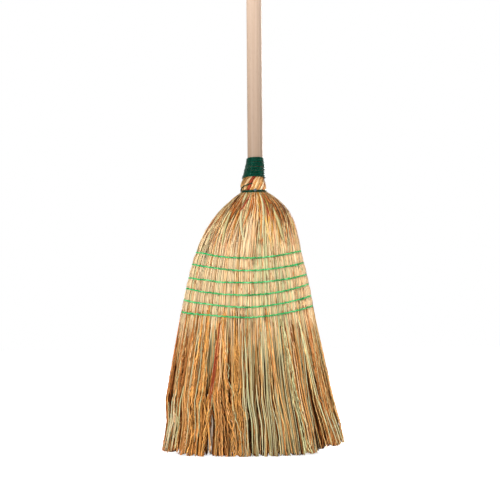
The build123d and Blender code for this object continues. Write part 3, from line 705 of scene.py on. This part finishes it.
def wire_material():
    """Dark green plastic coating with a worn sheen."""
    nodes = Nodes("coated_wire")
    scuffs = nodes.noise(scale=260.0, detail=3.0)
    return nodes.finish(
        Base_Color=nodes.fade(scuffs, shades(WIRE_GREEN, WIRE_SHADES)),
        Roughness=ranged(nodes.tree, scuffs, low=0.05, high=0.16),
        Specular_IOR_Level=0.13,
        Specular_Tint=(0.2, 0.9, 0.7, 1.0),
        Normal=nodes.bump(scuffs, strength=0.1, distance=0.0002),
    )


def twine_material():
    """Bright green twine: paler and deeper stretches, fine fibres along it."""
    nodes = Nodes("sewing_twine")
    patches = nodes.noise(scale=130.0, detail=2.0)
    fibres = nodes.noise(scale=1400.0, detail=2.0, stretch=(0.3, 0.3, 1.0))
    colour = nodes.ramp(patches, list(zip(TWINE_RANGE, linear(TWINE_TINTS))))
    return nodes.finish(
        Base_Color=nodes.tone(colour, fibres, low=0.75, high=1.1),
        Roughness=ranged(nodes.tree, fibres, low=0.5, high=0.75),
        Specular_IOR_Level=0.2,
        Normal=nodes.bump(fibres, strength=0.3, distance=0.0004),
    )


def steel_material():
    """Dull nail steel."""
    nodes = Nodes("nail_steel")
    rub = nodes.noise(scale=500.0, detail=3.0)
    return nodes.finish(
        Base_Color=nodes.fade(rub, shades(STEEL, STEEL_SHADES)),
        Roughness=ranged(nodes.tree, rub, low=0.3, high=0.5),
        Metallic=0.8,
    )


# Straw


def piece_nodes():
    """Name of each straw piece with the solid that it replaces."""
    nodes = {f"inside_straw_{hank}": node for hank, node in zip(HANK_NAMES, BUNDLES)}
    for face in ("front", "back"):
        for group in ("stalks", "fibres"):
            for hank in HANK_NAMES:
                nodes[f"{face}_{group}_{hank}"] = f"{face}_hurl_{hank}"
    return nodes


def clump_notches():
    """Places and rises of the notches between the clumps' tips, the two large ones among them."""
    places, rises = list(NOTCHES_X), [NOTCH_RISE] * len(NOTCHES_X)
    x = -TIP_LEFT + CLUMP_SPACING[0]
    while x < TIP_RIGHT - CLUMP_SPACING[0]:
        places.append(x)
        rises.append(rng.uniform(*CLUMP_NOTCH))
        x += rng.uniform(*CLUMP_SPACING)
    return np.array(places), np.array(rises)


pieces = {name: Strands() for name in piece_nodes()}
notch_places, notch_rises = clump_notches()


def share_out(group, across, points, ways, widths, thick, colours):
    """Gives each strand of a batch to the left, centre or right piece of its group."""
    hank = np.searchsorted(HANK_EDGES, across, side="right")
    for number, name in enumerate(HANK_NAMES):
        own = hank == number
        pieces[f"{group}_{name}"].add(points[own], ways[own], widths[own], thick[own], colours[own])


def green_zone(across):
    """How far a place lies in the paler green stretch right of the middle."""
    return np.exp(-(((across - GREEN_MIDDLE) / GREEN_WIDTH) ** 2))


def pick(tints, across):
    """One tint for each strand, by its place."""
    colours, weights, green = (np.array(values, float) for values in zip(*tints))
    limits = np.cumsum(weights + green_zone(across)[:, None] * green, axis=1)
    number = (rng.random((len(across), 1)) * limits[:, -1:] > limits).sum(axis=1)
    return linear(colours)[number]


def varied(colours, stations, spread):
    """Colours along strands, each strand a little lighter or darker than its fellows."""
    light = rng.normal(1.0, spread, (len(colours), 1, 1)).clip(*STRAND_LIGHT)
    return np.repeat(colours[:, None, :], stations, axis=1) * light


def shaded(colours, light):
    """Colours at less light, warmer in the shade, where light comes from straw to straw."""
    return colours * light[..., None] ** SHADE_WARMTH


def mixed(first, second, share):
    """Blend of two sets of colours along strands."""
    return first + (second - first) * share[..., None]


def pointed(along, start):
    """Width along a strand that is thickest in the middle."""
    return np.sin(math.pi * (start + POINT_LENGTH * along))


def spread_places(count):
    """Places across the head at even steps along its face, each a little off."""
    angle = np.linspace(-math.pi / 2, math.pi / 2, FACE_STEPS)
    length = np.cumsum(np.hypot(np.cos(angle), FACE_SHAPE * np.sin(angle)))
    even = (np.arange(count) + 0.5 + rng.normal(0, PLACE_SPREAD, count)) / count
    reach = length[0] + even.clip(0, 1) * (length[-1] - length[0])
    return np.sin(np.interp(reach, length, angle))


def stalk_heights(across, end):
    """Heights of the stations of long stalks: shoulder, each row and between rows, then down to the end."""
    columns = [np.full_like(across, z) for z in SHOULDER_STOPS]
    rows = [row_height(row, across) for row in ROWS]
    columns.append((columns[-1] + rows[0]) / 2)
    for upper, lower in zip(rows, rows[1:]):
        columns += [upper, (upper + lower) / 2]
    columns.append(rows[-1])
    columns += [rows[-1] + (end - rows[-1]) * share for share in LOOSE_SHARES]
    return np.stack(columns, axis=1)


def row_press(across, z):
    """How far the twine presses the straw in at heights."""
    press = np.zeros_like(z)
    for row in ROWS:
        away = (z - row_height(row, across)[:, None]) / ROW_PRESS_REACH
        press += np.exp(-(away**2))
    return ROW_PRESS * press


def tip_of(across):
    """Height of the trimmed tips at places across the head, with notches between the clumps."""
    x = (TIP_RIGHT - TIP_LEFT) / 2 + across * (TIP_RIGHT + TIP_LEFT) / 2
    notches = notch_rises * np.exp(-(((x[..., None] - notch_places) / NOTCH_WIDTH) ** 2))
    return cut_height(x) + notches.max(axis=-1)


def smooth_noise(count, stations):
    """Small random steps along strands, each blended with its neighbours."""
    steps = rng.normal(0, 1.0, (count, stations + 2))
    return NOISE_BESIDE * steps[:, :-2] + NOISE_OWN * steps[:, 1:-1] + NOISE_BESIDE * steps[:, 2:]


def ripple(z):
    """Sideways ripples of loose fibres at heights: a few waves of random length, all about as steep."""
    total = np.zeros_like(z)
    for _ in range(RIPPLE_WAVES):
        length = drawn(len(z), RIPPLE_LENGTH)
        phase = drawn(len(z), (0, math.tau))
        total += RIPPLE_SLOPE * length * np.sin(math.tau * z / length + phase)
    return total


def part(points, group):
    """Moves strands aside from the slit in the lower left, each to the side of its tip."""
    gap = SLIT_GAP if group.startswith("front") else SLIT_GAP_BEHIND
    aside = points[..., 0] - SLIT_X
    near = np.clip(1 - np.abs(aside) / SLIT_REACH, 0, 1)
    points[..., 0] += np.sign(aside[:, -1:]) * gap * past(points[..., 2], *SLIT_START) * near


def grow_stalks(group, side, layer, count, width):
    """Long stalks of one layer, from under the tie over the shoulder and through the sewing."""
    across = spread_places(count)
    to_tip = rng.random(count) < TO_TIP + TO_TIP_GREEN * green_zone(across)
    tip = tip_of(across) + rng.uniform(*TO_TIP_RISE, count)
    z = stalk_heights(across, np.maximum(np.where(to_tip, tip, rng.uniform(*STALK_END, count)), TIP_FLOOR))
    stations = z.shape[1]
    high, low = past(z, FIRST_ROW_Z, TIE_Z - FIRST_ROW_Z), past(z, *STALK_LOW)
    sewn = past(z, *SEWN_FROM) * past(z, *SEWN_TO)
    wander = sway(count, stations, waves=3) * (STALK_SWAY + STALK_SWAY_HIGH * high + STALK_SWAY_LOW * low)
    wander += strayed(count, STALK_DRIFT) * low
    wander += strayed(count, STALK_CROSSING) * high * half_width(z)
    inset = STALK_INSET + layer * (1 - SEWN_FLAT * sewn) + strayed(count, STALK_UNEVEN)
    inset += row_press(across, z) + np.abs(sway(count, stations, waves=2)) * (1 - sewn)
    points, ways = in_head(moved(across[:, None], wander, z), side, inset, z)
    part(points, group)
    widths = drawn(count, STALK_SIZES) * width
    widths = widths * (STALK_TOP_WIDTH + (1 - STALK_TOP_WIDTH) * past(z, *STALK_TOP))
    widths *= 1 - (1 - np.where(to_tip[:, None], *STALK_NARROW)) * past(z, *STALK_TAPER)
    widths[:, -1] *= np.where(to_tip, *STALK_POINT)
    top = varied(pick(COVER_TINTS if layer < COVER_LAYERS else TOP_TINTS, across), stations, TOP_SPREAD)
    top = np.minimum(top * SHOULDER_LIFT, 1.0)
    middle = varied(pick(SEWN_TINTS, across), stations, SEWN_SPREAD)
    lower = varied(pick(SEWN_TINTS, across), stations, SEWN_SPREAD)
    middle = mixed(middle, lower, past(z, drawn(count, SEWN_HUE), SEWN_HUE_FADE))
    bottom = varied(pick(REED_TINTS, across), stations, LOW_SPREAD)
    colours = mixed(middle, top, past(z, drawn(count, TOP_HUE), TOP_HUE_FADE))
    colours = mixed(colours, bottom, past(z, drawn(count, LOW_HUE), LOW_HUE_FADE))
    # Painted shade: deeper layers are darker, stalks just under the tie are shadowed, and those at the flanks
    # near the tie are darker, some much darker
    light = np.exp(-layer * (LAYER_SHADE + LAYER_SHADE_HIGH * high + LAYER_SHADE_LOW * low))
    light *= 1 - TIE_SHADE * past(z, *TIE_SHADE_FROM)
    flank = past(z, *FLANK_FROM) * past(np.abs(across[:, None]), *FLANK_ASIDE)
    light *= 1 - flank * (FLANK_SHADE + FLANK_DARK * (rng.random((count, 1)) < FLANK_DARK_SHARE))
    share_out(group, across, points, ways, widths, widths * STALK_THICK, shaded(colours, light))


def grow_flecks(group, side, count, heights, length, width):
    """Dark strands among the stalks: painted shade in the splits between them, and bits of husk."""
    across = rng.uniform(-1, 1, count)
    along = shares(FLECK_STATIONS)
    z = drawn(count, heights) - rng.gamma(FLECK_LENGTHS, length / FLECK_LENGTHS, (count, 1)) * along
    place = moved(across[:, None], sway(count, FLECK_STATIONS, waves=2) * FLECK_SWAY, z)
    points, ways = in_head(place, side, drawn(count, FLECK_INSET) + row_press(across, z), z)
    widths = width * drawn(count, FLECK_SIZES) * pointed(along, FLECK_POINT)
    tint = varied(pick(FLECK_TINTS, across), FLECK_STATIONS, FLECK_SPREAD)
    share_out(group, across, points, ways, widths, widths * FLECK_THICK, tint)


def grow_loose(group, side, share, clumps, fibres, depth, reeds, stations):
    """Loose straw of one layer in rounded clumps: crinkled fibres in some, smooth reeds in others."""
    root = spread_places(clumps)
    steady = 1 - np.abs(root) ** EDGE_POWER
    slant = rng.normal(0, CLUMP_SLANT, clumps) * steady
    sink = rng.uniform(0, CLUMP_SINK, clumps) * steady
    radius = CLUMP_RADIUS * rng.uniform(*CLUMP_SIZES, clumps)
    bunch_place = rng.uniform(-1, 1, (clumps, BUNCHES))
    bunch_light = rng.normal(1.0, BUNCH_LIGHT, (clumps, BUNCHES)).clip(*BUNCH_LIMITS)
    tint = pick(FIBRE_TINTS, root)
    for place in HONEY_PLACES:
        tint[np.abs(root - place) < HONEY_REACH] = linear(HONEY)
    of_reeds = rng.random(clumps) < reeds * np.interp(root, REED_PLACES, REED_SHARES)
    for reed in (False, True):
        filled = np.where(of_reeds, REED_CLUMP, 0.0) if reed else np.where(of_reeds, REED_CLUMP_FIBRES, 1.0)
        number = np.repeat(np.arange(clumps), (fibres * filled).astype(int))
        count = len(number)
        bunch = rng.integers(0, BUNCHES, count)
        own = rng.random((count, 1)) < (0.0 if reed else OWN_TINT)
        hue_place = np.where(reed & (root > GREEN_EDGE), GREEN_MIDDLE, root)[number]
        colours = np.where(own, tint[number], pick(REED_TINTS if reed else FIBRE_TINTS, hue_place))
        clump = [value[number, None] for value in (root, slant, sink, radius)]
        if reed:
            place = drawn(count, (-1, 1))
            path = sway(count, stations // 2, LOOSE_WAVES) * REED_SWAY
        else:
            place = bunch_place[number, bunch] + rng.normal(0, BUNCH_SPREAD, count)
            place = place.clip(-1, 1)[:, None]
            path = sway(clumps * BUNCHES, stations, BUNCH_WAVES).reshape(clumps, BUNCHES, stations)
            path = path[number, bunch] * BUNCH_SWAY + sway(count, stations, LOOSE_WAVES) * FIBRE_SWAY
            colours = colours * bunch_light[number, bunch][:, None]
        grow_batch(group, side * share, depth, clump, place, path, colours, reed)


def grow_batch(group, depth_share, depth, clump, place, path, tint, reed):
    """Strands from under the last rows to the trimmed tips: crinkled fibres, or smooth reeds."""
    root, slant, clump_sink, radius = clump
    count, stations = path.shape
    along = shares(stations)
    emerge = drawn(count, EMERGE_Z)
    lean = slant + strayed(count, REED_LEAN if reed else FIBRE_LEAN)
    z = (emerge + EMERGE_REACH) * (1 - along)
    down = np.clip(1 - z / CLUMP_Z, 0, 1)
    free = smooth(down / FREE_LENGTH)
    crinkle = (0.0 if reed else CRINKLE) * rng.gamma(*CRINKLE_SHAPE, (count, 1)).clip(0, CRINKLE_MOST)
    crinkle = crinkle * smooth(down / CRINKLE_LENGTH)
    aside = lean * down**LEAN_CURVE + path * free
    aside = aside + place * (CLUMP_TOP_RADIUS + (radius - CLUMP_TOP_RADIUS) * down)
    aside = aside + crinkle * (rng.normal(0, 1, (count, stations)) + ripple(z) / CRINKLE)
    tip_across, _ = moved(root, aside[:, -1:], np.zeros_like(root))
    tip = tip_of(tip_across) - TIP_DROP + rng.gamma(1.0, TIP_SPREAD, (count, 1))
    z = z + np.maximum(tip, TIP_FLOOR) * along
    if reed:
        outside = rng.random((count, 1)) < REEDS_OUTSIDE
        sink = np.where(outside, drawn(count, REED_SINK), drawn(count, REED_SINK_DEEP))
    else:
        sink = rng.gamma(*FIBRE_SINK, (count, 1))
    sink = sink + clump_sink + CLUMP_ROUND * radius * (1 - np.sqrt(1 - CLUMP_EDGE * place**2))
    inset = depth + sink * (FREE_SINK + (1 - FREE_SINK) * free) + EMERGE_SINK * past(z, emerge, EMERGE_REACH)
    inset = inset + CRINKLE_DEPTH * crinkle * rng.normal(0, 1, (count, stations))
    points, ways = in_head(moved(root, aside, z), depth_share, inset, z)
    points[..., 1] += sway(count, stations, waves=3) * LOOSE_DRIFT * free
    part(points, group)
    own_light = strayed(count, REED_LIGHT if reed else FIBRE_LIGHT, 1.0)
    # Painted shade: the deeper a fibre lies in the straw the darker it is, and those at the front are lighter
    light = (FRONT_LIGHT * own_light * np.exp(-(sink + depth) / SHADE_DEPTH)).clip(*LIGHT_LIMITS)
    colours = shaded(np.repeat(tint[:, None], stations, axis=1), light)
    colours = colours * (1 + TIP_LIGHT * past(along, TIP_LIGHT_FROM, 1 - TIP_LIGHT_FROM))[..., None]
    if reed:
        broad = rng.random((count, 1)) < REED_BROAD
        widths = np.where(broad, drawn(count, REED_BROAD_WIDTH), drawn(count, REED_WIDTH))
        widths = widths * (1 - REED_TAPER * along)
    else:
        widths = drawn(count, FIBRE_WIDTH) * (1 - FIBRE_TAPER * along)
        widths = widths * rng.normal(1, FIBRE_UNEVEN, (count, stations)).clip(*FIBRE_LIMITS)
        colours = colours * (1 + SPECKLE * smooth_noise(count, stations)[..., None]).clip(*SPECKLE_LIMITS)
    widths = widths * (ROOT_WIDTH + (1 - ROOT_WIDTH) * smooth(along / ROOT_LENGTH))
    share_out(group, root[:, 0], points, ways, widths, widths * LOOSE_THICK, colours)
    if group != "inside_straw" and not reed:
        grow_twigs(group, root[:, 0], points, ways, colours)


def grow_twigs(group, across, points, ways, colours):
    """Short side fibres that leave the loose fibres at a slant and end in a point."""
    strand = np.repeat(np.arange(len(points)), TWIGS)
    count, stations = len(strand), points.shape[1]
    first = rng.integers(stations // TWIG_FREE, stations - TWIG_STATIONS, count)
    station = first[:, None] + np.arange(TWIG_STATIONS)[None]
    path, out = points[strand[:, None], station].copy(), ways[strand[:, None], station]
    beside = unit(np.cross(unit(np.gradient(path, axis=1)), out))
    along = shares(TWIG_STATIONS)
    slant = strayed(count, TWIG_SLANT) * along**TWIG_CURVE
    slant = slant + smooth_noise(count, TWIG_STATIONS) * TWIG_CRINKLE * along
    lift = drawn(count, TWIG_LIFT) * along
    path += beside * slant[..., None] + out * lift[..., None]
    path[..., 2] = np.maximum(path[..., 2], TIP_FLOOR)
    widths = drawn(count, TWIG_WIDTH) * (1 - TWIG_TAPER * along)
    light = rng.normal(1.0, TWIG_LIGHT, (count, 1, 1)).clip(*TWIG_LIMITS)
    tint = colours[strand[:, None], station] * light
    share_out(group, across[strand], path, out, widths, widths * TWIG_THICK, tint)


def grow_lone(stalks, depth):
    """Single stalks at a depth under the front, such as a long red one and dark strips of painted shade on
    the shoulders.
    """
    along = shares(LONE_STATIONS)
    for top_across, top_z, end_across, end_z, width, colour in stalks:
        z = top_z + (end_z - top_z) * along
        across = top_across + (end_across - top_across) * along
        place = moved(across, sway(1, LONE_STATIONS, waves=3) * LONE_SWAY, z)
        points, ways = in_head(place, -1, depth + row_press(np.array([top_across]), z), z)
        widths = width * pointed(along, LONE_POINT) ** LONE_ROUND
        colours = varied(linear(colour)[None], LONE_STATIONS, LONE_SPREAD)
        end = np.array([end_across])
        share_out("front_stalks", end, points, ways, widths, widths * LONE_THICK, colours)


def round_axis(lean, radius, angle, z):
    """Points round an axis that leans aside."""
    return np.stack([lean + radius * np.cos(angle), radius * np.sin(angle), z], axis=-1)


def grow_neck(group, side):
    """Stalk ends that slant round the neck between the tie and the winding, in shade under the winding."""
    angle = np.linspace(-math.pi / 2, math.pi / 2, NECK_STALKS) + rng.normal(0, NECK_STRAY, NECK_STALKS)
    angle = side * math.pi / 2 + angle
    z = np.linspace(*NECK_SPAN, NECK_STATIONS)[None, :] * np.ones((NECK_STALKS, 1))
    radius = np.interp(z, NECK_Z, NECK_RADIUS) - drawn(NECK_STALKS, NECK_INSET)
    turned = angle[:, None] + drawn(NECK_STALKS, NECK_SLANT) * (shares(NECK_STATIONS) - 0.5)
    points = round_axis(np.interp(z, NECK_Z, NECK_LEAN), radius, turned, z)
    ways = round_axis(0.0, 1.0, turned, np.zeros_like(z))
    widths = drawn(NECK_STALKS, NECK_WIDTH) * np.ones_like(z)
    tint = varied(pick(NECK_TINTS, np.cos(angle)), NECK_STATIONS, NECK_SPREAD)
    tint = tint * (1 - NECK_SHADE * past(z, *NECK_SHADE_FROM))[..., None]
    share_out(group, np.cos(angle), points, ways, widths, widths * NECK_THICK, tint)


def grow_packing():
    """Tightly packed inside straw: thick brown bundles side by side under the outer straw, darker with
    painted shade lower down.
    """
    across = np.linspace(-PACK_EDGE, PACK_EDGE, PACKS)
    z = np.linspace(*PACK_SPAN, PACK_STATIONS)[None, :] * np.ones((PACKS, 1))
    low = past(z, *PACK_LOW)
    place = moved(across[:, None], np.zeros_like(z), z)
    widths = 2 * half_width(z) / PACKS * (PACK_WIDTH - PACK_WIDTH_LOW * low)
    thick = PACK_THICK - PACK_THICK_LOW * low
    dark = np.repeat(linear(BARK)[None], PACKS, axis=0) * PACK_SHADE
    for share in PACK_DEPTHS:
        points, ways = in_head(place, share, PACK_INSET + PACK_INSET_LOW * low, z)
        colours = varied(dark, PACK_STATIONS, PACK_SPREAD)
        colours = mixed(colours, np.broadcast_to(linear(PACKED), colours.shape), past(z, *PACKED_FROM))
        share_out("inside_straw", across, points, ways, widths, thick, colours)


def make_straw(material):
    """All straw, one piece or two for each bundle of the solids."""
    for side, face in ((-1, "front"), (1, "back")):
        stalks, fibres = f"{face}_stalks", f"{face}_fibres"
        for layer, values in enumerate(STALK_LAYERS):
            grow_stalks(stalks, side, layer, *values)
        for values in FLECKS:
            grow_flecks(stalks, side, *values)
        for layer, values in enumerate(LOOSE_LAYERS):
            grow_loose(fibres if layer < OUTER_LAYERS else "inside_straw", side, *values)
        grow_neck(stalks, side)
    grow_packing()
    for values in LONE_STALKS:
        grow_lone(*values)
    for name, node in piece_nodes().items():
        piece = pieces[name].make(name, material)
        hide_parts(node)


# Wire, twine and the rest


def make_winding(material):
    """Close turns of wire up the neck, a little uneven."""
    turn = np.linspace(0, WINDING_TURNS, int(WINDING_TURNS * WINDING_STEPS))
    bends = (0.0, WINDING_TURNS * WINDING_BEND, WINDING_TURNS)
    marks = np.arange(math.ceil(WINDING_TURNS))
    uneven = np.interp(turn, marks, rng.normal(0, WINDING_UNEVEN, len(marks)))
    to_end = np.minimum(turn, WINDING_TURNS - turn)
    radius = np.interp(turn, bends, WINDING_RADIUS) - WIRE_SINK * (1 - smooth(to_end / WIRE_SINK_TURN))
    z = WINDING_Z + WIRE_PITCH * turn + uneven * WIRE_RADIUS
    points = round_axis(np.interp(turn, bends, WINDING_LEAN), radius + uneven, math.tau * turn, z)
    parts = [tube(points, WIRE_RADIUS * WINDING_THICK, WIRE_SIDES)]
    piece = tube_piece("neck_winding", parts, material)
    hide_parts("neck_winding_wire")


def make_tie(material):
    """Wire drawn tight round the waist, lower on the front, with its tail up the front of the neck."""
    radius, lean = NECK_RADIUS[0] + TIE_CLEAR, NECK_LEAN[0]
    angle = np.linspace(TIE_START, TIE_END, TIE_STEPS)
    z = TIE_TURNS_Z + TIE_PITCH * (angle - TIE_START) / math.tau + TIE_DIP * np.minimum(np.sin(angle), 0)
    ring = round_axis(lean, radius - TIE_SINK * (1 - past(angle, TIE_START, math.pi)), angle, z)
    climb = np.linspace(0, 1, TAIL_STEPS)[1:]
    tail_lean = lean + (NECK_LEAN[1] - lean) * smooth(climb)
    tail_radius = radius + (NECK_RADIUS[1] - NECK_RADIUS[0]) * smooth(climb)
    tail_radius -= TAIL_TUCK * np.clip(climb - TAIL_TUCK_FROM, 0, 1) / (1 - TAIL_TUCK_FROM)
    tail = round_axis(tail_lean, tail_radius, TIE_END + TAIL_TURN * climb, z[-1] + TAIL_RISE * climb)
    parts = [tube(np.concatenate([ring, tail]), WIRE_RADIUS, WIRE_SIDES)]
    piece = tube_piece("shoulder_tie", parts, material)
    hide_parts("shoulder_tie_wire")


def row_point(row, across, side):
    """Points of a sewing row on the front or back, and the ways out. It sinks in at the sides."""
    z = row_height(row, across)
    left, right, depth = head_shape(z)
    middle, half = (right - left) / 2, (right + left) / 2 - TWINE_SINK * np.abs(across) ** EDGE_POWER
    edge = np.sqrt(np.clip(1 - across**2, 0, 1))
    points = np.stack([middle + half * across, side * depth * edge, z], axis=-1)
    ways = np.stack([across / half, side * edge / depth, np.zeros_like(z)], axis=-1)
    return points, unit(ways)


def row_path(row):
    """Points right round a sewing row, a steady step apart, and the distance along it."""
    angle = np.linspace(0, math.tau, ROW_STEPS, endpoint=False)
    points, _ = row_point(row, np.cos(angle), np.sign(np.sin(angle)))
    ring = np.concatenate([points, points[:1]])
    length = np.concatenate([[0], np.cumsum(np.linalg.norm(np.diff(ring, axis=0), axis=1))])
    along = np.linspace(0, length[-1], int(length[-1] / TWINE_STEP), endpoint=False)
    return np.stack([np.interp(along, length, ring[:, axis]) for axis in range(3)], axis=1), along


def twisted_plies(points, out, along):
    """Two plies of twine twisted round a closed path."""
    across = unit(np.cross(ring_ways(points), out))
    turns = math.tau * np.round(along[-1] / TWINE_TWIST) * along / along[-1]
    plies = []
    for ply in (0, math.pi):
        offset = out * np.cos(turns + ply)[:, None] + across * np.sin(turns + ply)[:, None]
        path = points + offset * PLY_RADIUS * PLY_APART
        plies.append(tube(path, PLY_RADIUS, TWINE_SIDES, closed=True))
    return plies


def through_stitches(row):
    """Short lengths of twine straight through the straw, from the front to the back of a row."""
    count = int(2 * half_width(ROW_HEIGHTS[row]) / STITCH_PITCH)
    stitches = []
    for across in np.linspace(-STITCH_EDGE, STITCH_EDGE, count):
        front, back = [row_point(row, np.array([across]), side)[0][0] for side in (-1, 1)]
        share = np.linspace(0, 1, STITCH_STEPS)[:, None]
        stitches.append(tube(front * (1 - share) + back * share, PLY_RADIUS, TWINE_SIDES))
    return stitches


def knot(row, across, tails):
    """Small trefoil knot on the front of a row, with frayed tails that stand off the straw."""
    centre, out = (value[0] for value in row_point(row, np.array([across]), -1))
    aside = np.cross(UP, out)
    turn = np.linspace(0, math.tau, KNOT_STEPS, endpoint=False)[:, None]
    over = np.sin(turn) + 2 * np.sin(2 * turn)
    rise = np.cos(turn) - 2 * np.cos(2 * turn)
    points = centre + KNOT_SIZE * (over * aside + rise * UP + (KNOT_LIFT - np.sin(3 * turn)) * out)
    parts = [tube(points, PLY_RADIUS * KNOT_THICK, TWINE_SIDES, closed=True)]
    along = np.linspace(0, 1, FRAY_STEPS)[:, None]
    thick = PLY_RADIUS * (FRAY_THICK - FRAY_TAPER * along[:, 0])
    for _ in range(tails):
        length, slope, lift = (rng.uniform(*limits) for limits in (FRAY_LENGTH, FRAY_SLOPE, FRAY_LIFT))
        way = aside * rng.choice((-1, 1)) + UP * slope
        path = centre + out * FRAY_START + length * (way * along + (out * lift - UP * FRAY_FALL) * along**2)
        parts.append(tube(path, thick, TWINE_SIDES))
    return parts


def make_rows(material):
    """Six rows of two-ply twine, each stitch a little slanted and sunk at its ends."""
    for row in ROWS:
        points, along = row_path(row)
        left, right, depth = head_shape(points[:, 2])
        axis = np.stack([(right - left) / 2, 0 * depth, points[:, 2]], axis=1)
        out = unit((points - axis) / np.stack([(left + right) ** 2 / 4, depth**2, 0 * depth + 1], axis=1))
        phase = (along / STITCH_LENGTH + rng.uniform(0, 1)) % 1.0 - 0.5
        marks = np.arange(0, along[-1] + 2 * SLACK_STEP, SLACK_STEP)
        slack = np.interp(along, marks, rng.normal(0, SLACK, len(marks)))
        points = points + out * (STITCH_OUT - STITCH_DIP * phase**2)[:, None]
        points[:, 2] += phase * STITCH_SLANT + slack * np.abs(np.sin(math.pi * along / along[-1]))
        parts = twisted_plies(points, out, along) + through_stitches(row)
        for knot_row, across, tails in KNOTS:
            if knot_row == row:
                parts += knot(row, across, tails)
        piece = tube_piece(f"sewing_twine_{row + 1}", parts, material)
        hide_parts(f"sewing_row_{row + 1}")


def dress(node, material):
    """A CAD node's own mesh with a better material."""
    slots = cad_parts[node].data.materials
    slots.clear()
    slots.append(material)


# Studio


def seen_directly(tree):
    """1 for a ray from the camera, or by a mirror or glass, and 0 for light that falls on the object."""
    total = add_node(tree, "ShaderNodeLightPath", "Is Camera Ray")
    for name in ("Is Glossy Ray", "Is Transmission Ray"):
        inputs = {0: total, 1: add_node(tree, "ShaderNodeLightPath", name)}
        total = add_node(tree, "ShaderNodeMath", 0, inputs, operation="MAXIMUM")
    return total


def make_stage():
    """Plain white floor that meets the white surround."""
    places = np.array([(-1, -1, 0), (1, -1, 0), (1, 1, 0), (-1, 1, 0)]) * FLOOR_REACH
    mesh = new_mesh("floor", places, np.arange(4), np.array([4]))
    floor = new_object("floor", mesh)
    nodes = Nodes("floor_white")
    lift = ranged(nodes.tree, seen_directly(nodes.tree), low=0.0, high=FLOOR_LIFT)
    mesh.materials.append(nodes.finish(
        Base_Color=FLOOR_TINT, Roughness=0.9, Emission_Color=WHITE, Emission_Strength=lift))


def add_softbox(name, azimuth, elevation, distance, size, power):
    """Large area light that faces the middle of the broom, at an angle seen from the camera's side."""
    turn, rise = math.radians(azimuth), math.radians(elevation)
    way = Vector((math.sin(turn) * math.cos(rise), -math.cos(turn) * math.cos(rise), math.sin(rise)))
    light = bpy.data.lights.new(name, "AREA")
    light.shape = "RECTANGLE"
    light.size, light.size_y = size
    light.energy = power
    lamp = new_object(name, light)
    lamp.location = LIGHT_TARGET + way * distance
    lamp.rotation_euler = (-way).to_track_quat("-Z", "Y").to_euler()


def make_lights():
    """Two tall softboxes either side of the camera, one behind, one above, and an even white surround."""
    for values in SOFTBOXES:
        add_softbox(*values)
    world = bpy.data.worlds.new("studio")
    bpy.context.scene.world = world
    world.use_nodes = True
    tree = world.node_tree
    surround = tree.nodes["Background"].inputs
    set_input(tree, surround["Color"], WHITE)
    strength = ranged(tree, seen_directly(tree), low=SURROUND_LIGHT, high=1.0)
    set_input(tree, surround["Strength"], strength)


def make_camera():
    """Camera at the photograph's angle."""
    lens = bpy.data.cameras.new("camera")
    lens.sensor_fit = "HORIZONTAL"
    lens.sensor_width = SENSOR_MM
    lens.lens = FOCAL_PIXELS / FRAME_PIXELS * SENSOR_MM
    camera = new_object("camera", lens)
    place = Matrix.Translation(Vector((CAMERA_X, CAMERA_Y, CAMERA_Z)) * MM)
    tilt = Matrix.Rotation(math.radians(90 + CAMERA_PITCH), 4, "X")
    roll = Matrix.Rotation(math.radians(CAMERA_ROLL), 4, "Z")
    camera.matrix_world = place @ tilt @ roll
    bpy.context.scene.camera = camera


def main():
    """The whole scene, in the order of its random draws."""
    make_camera()
    make_lights()
    make_stage()
    straw, wire, twine = straw_material(), wire_material(), twine_material()
    make_straw(straw)
    make_winding(wire)
    make_tie(wire)
    make_rows(twine)
    dress("handle", wood_material())
    dress("core_binding_wire", wire)
    dress("shoulder_tie_nail", steel_material())
    bpy.context.scene.view_settings.view_transform = "Standard"


main()
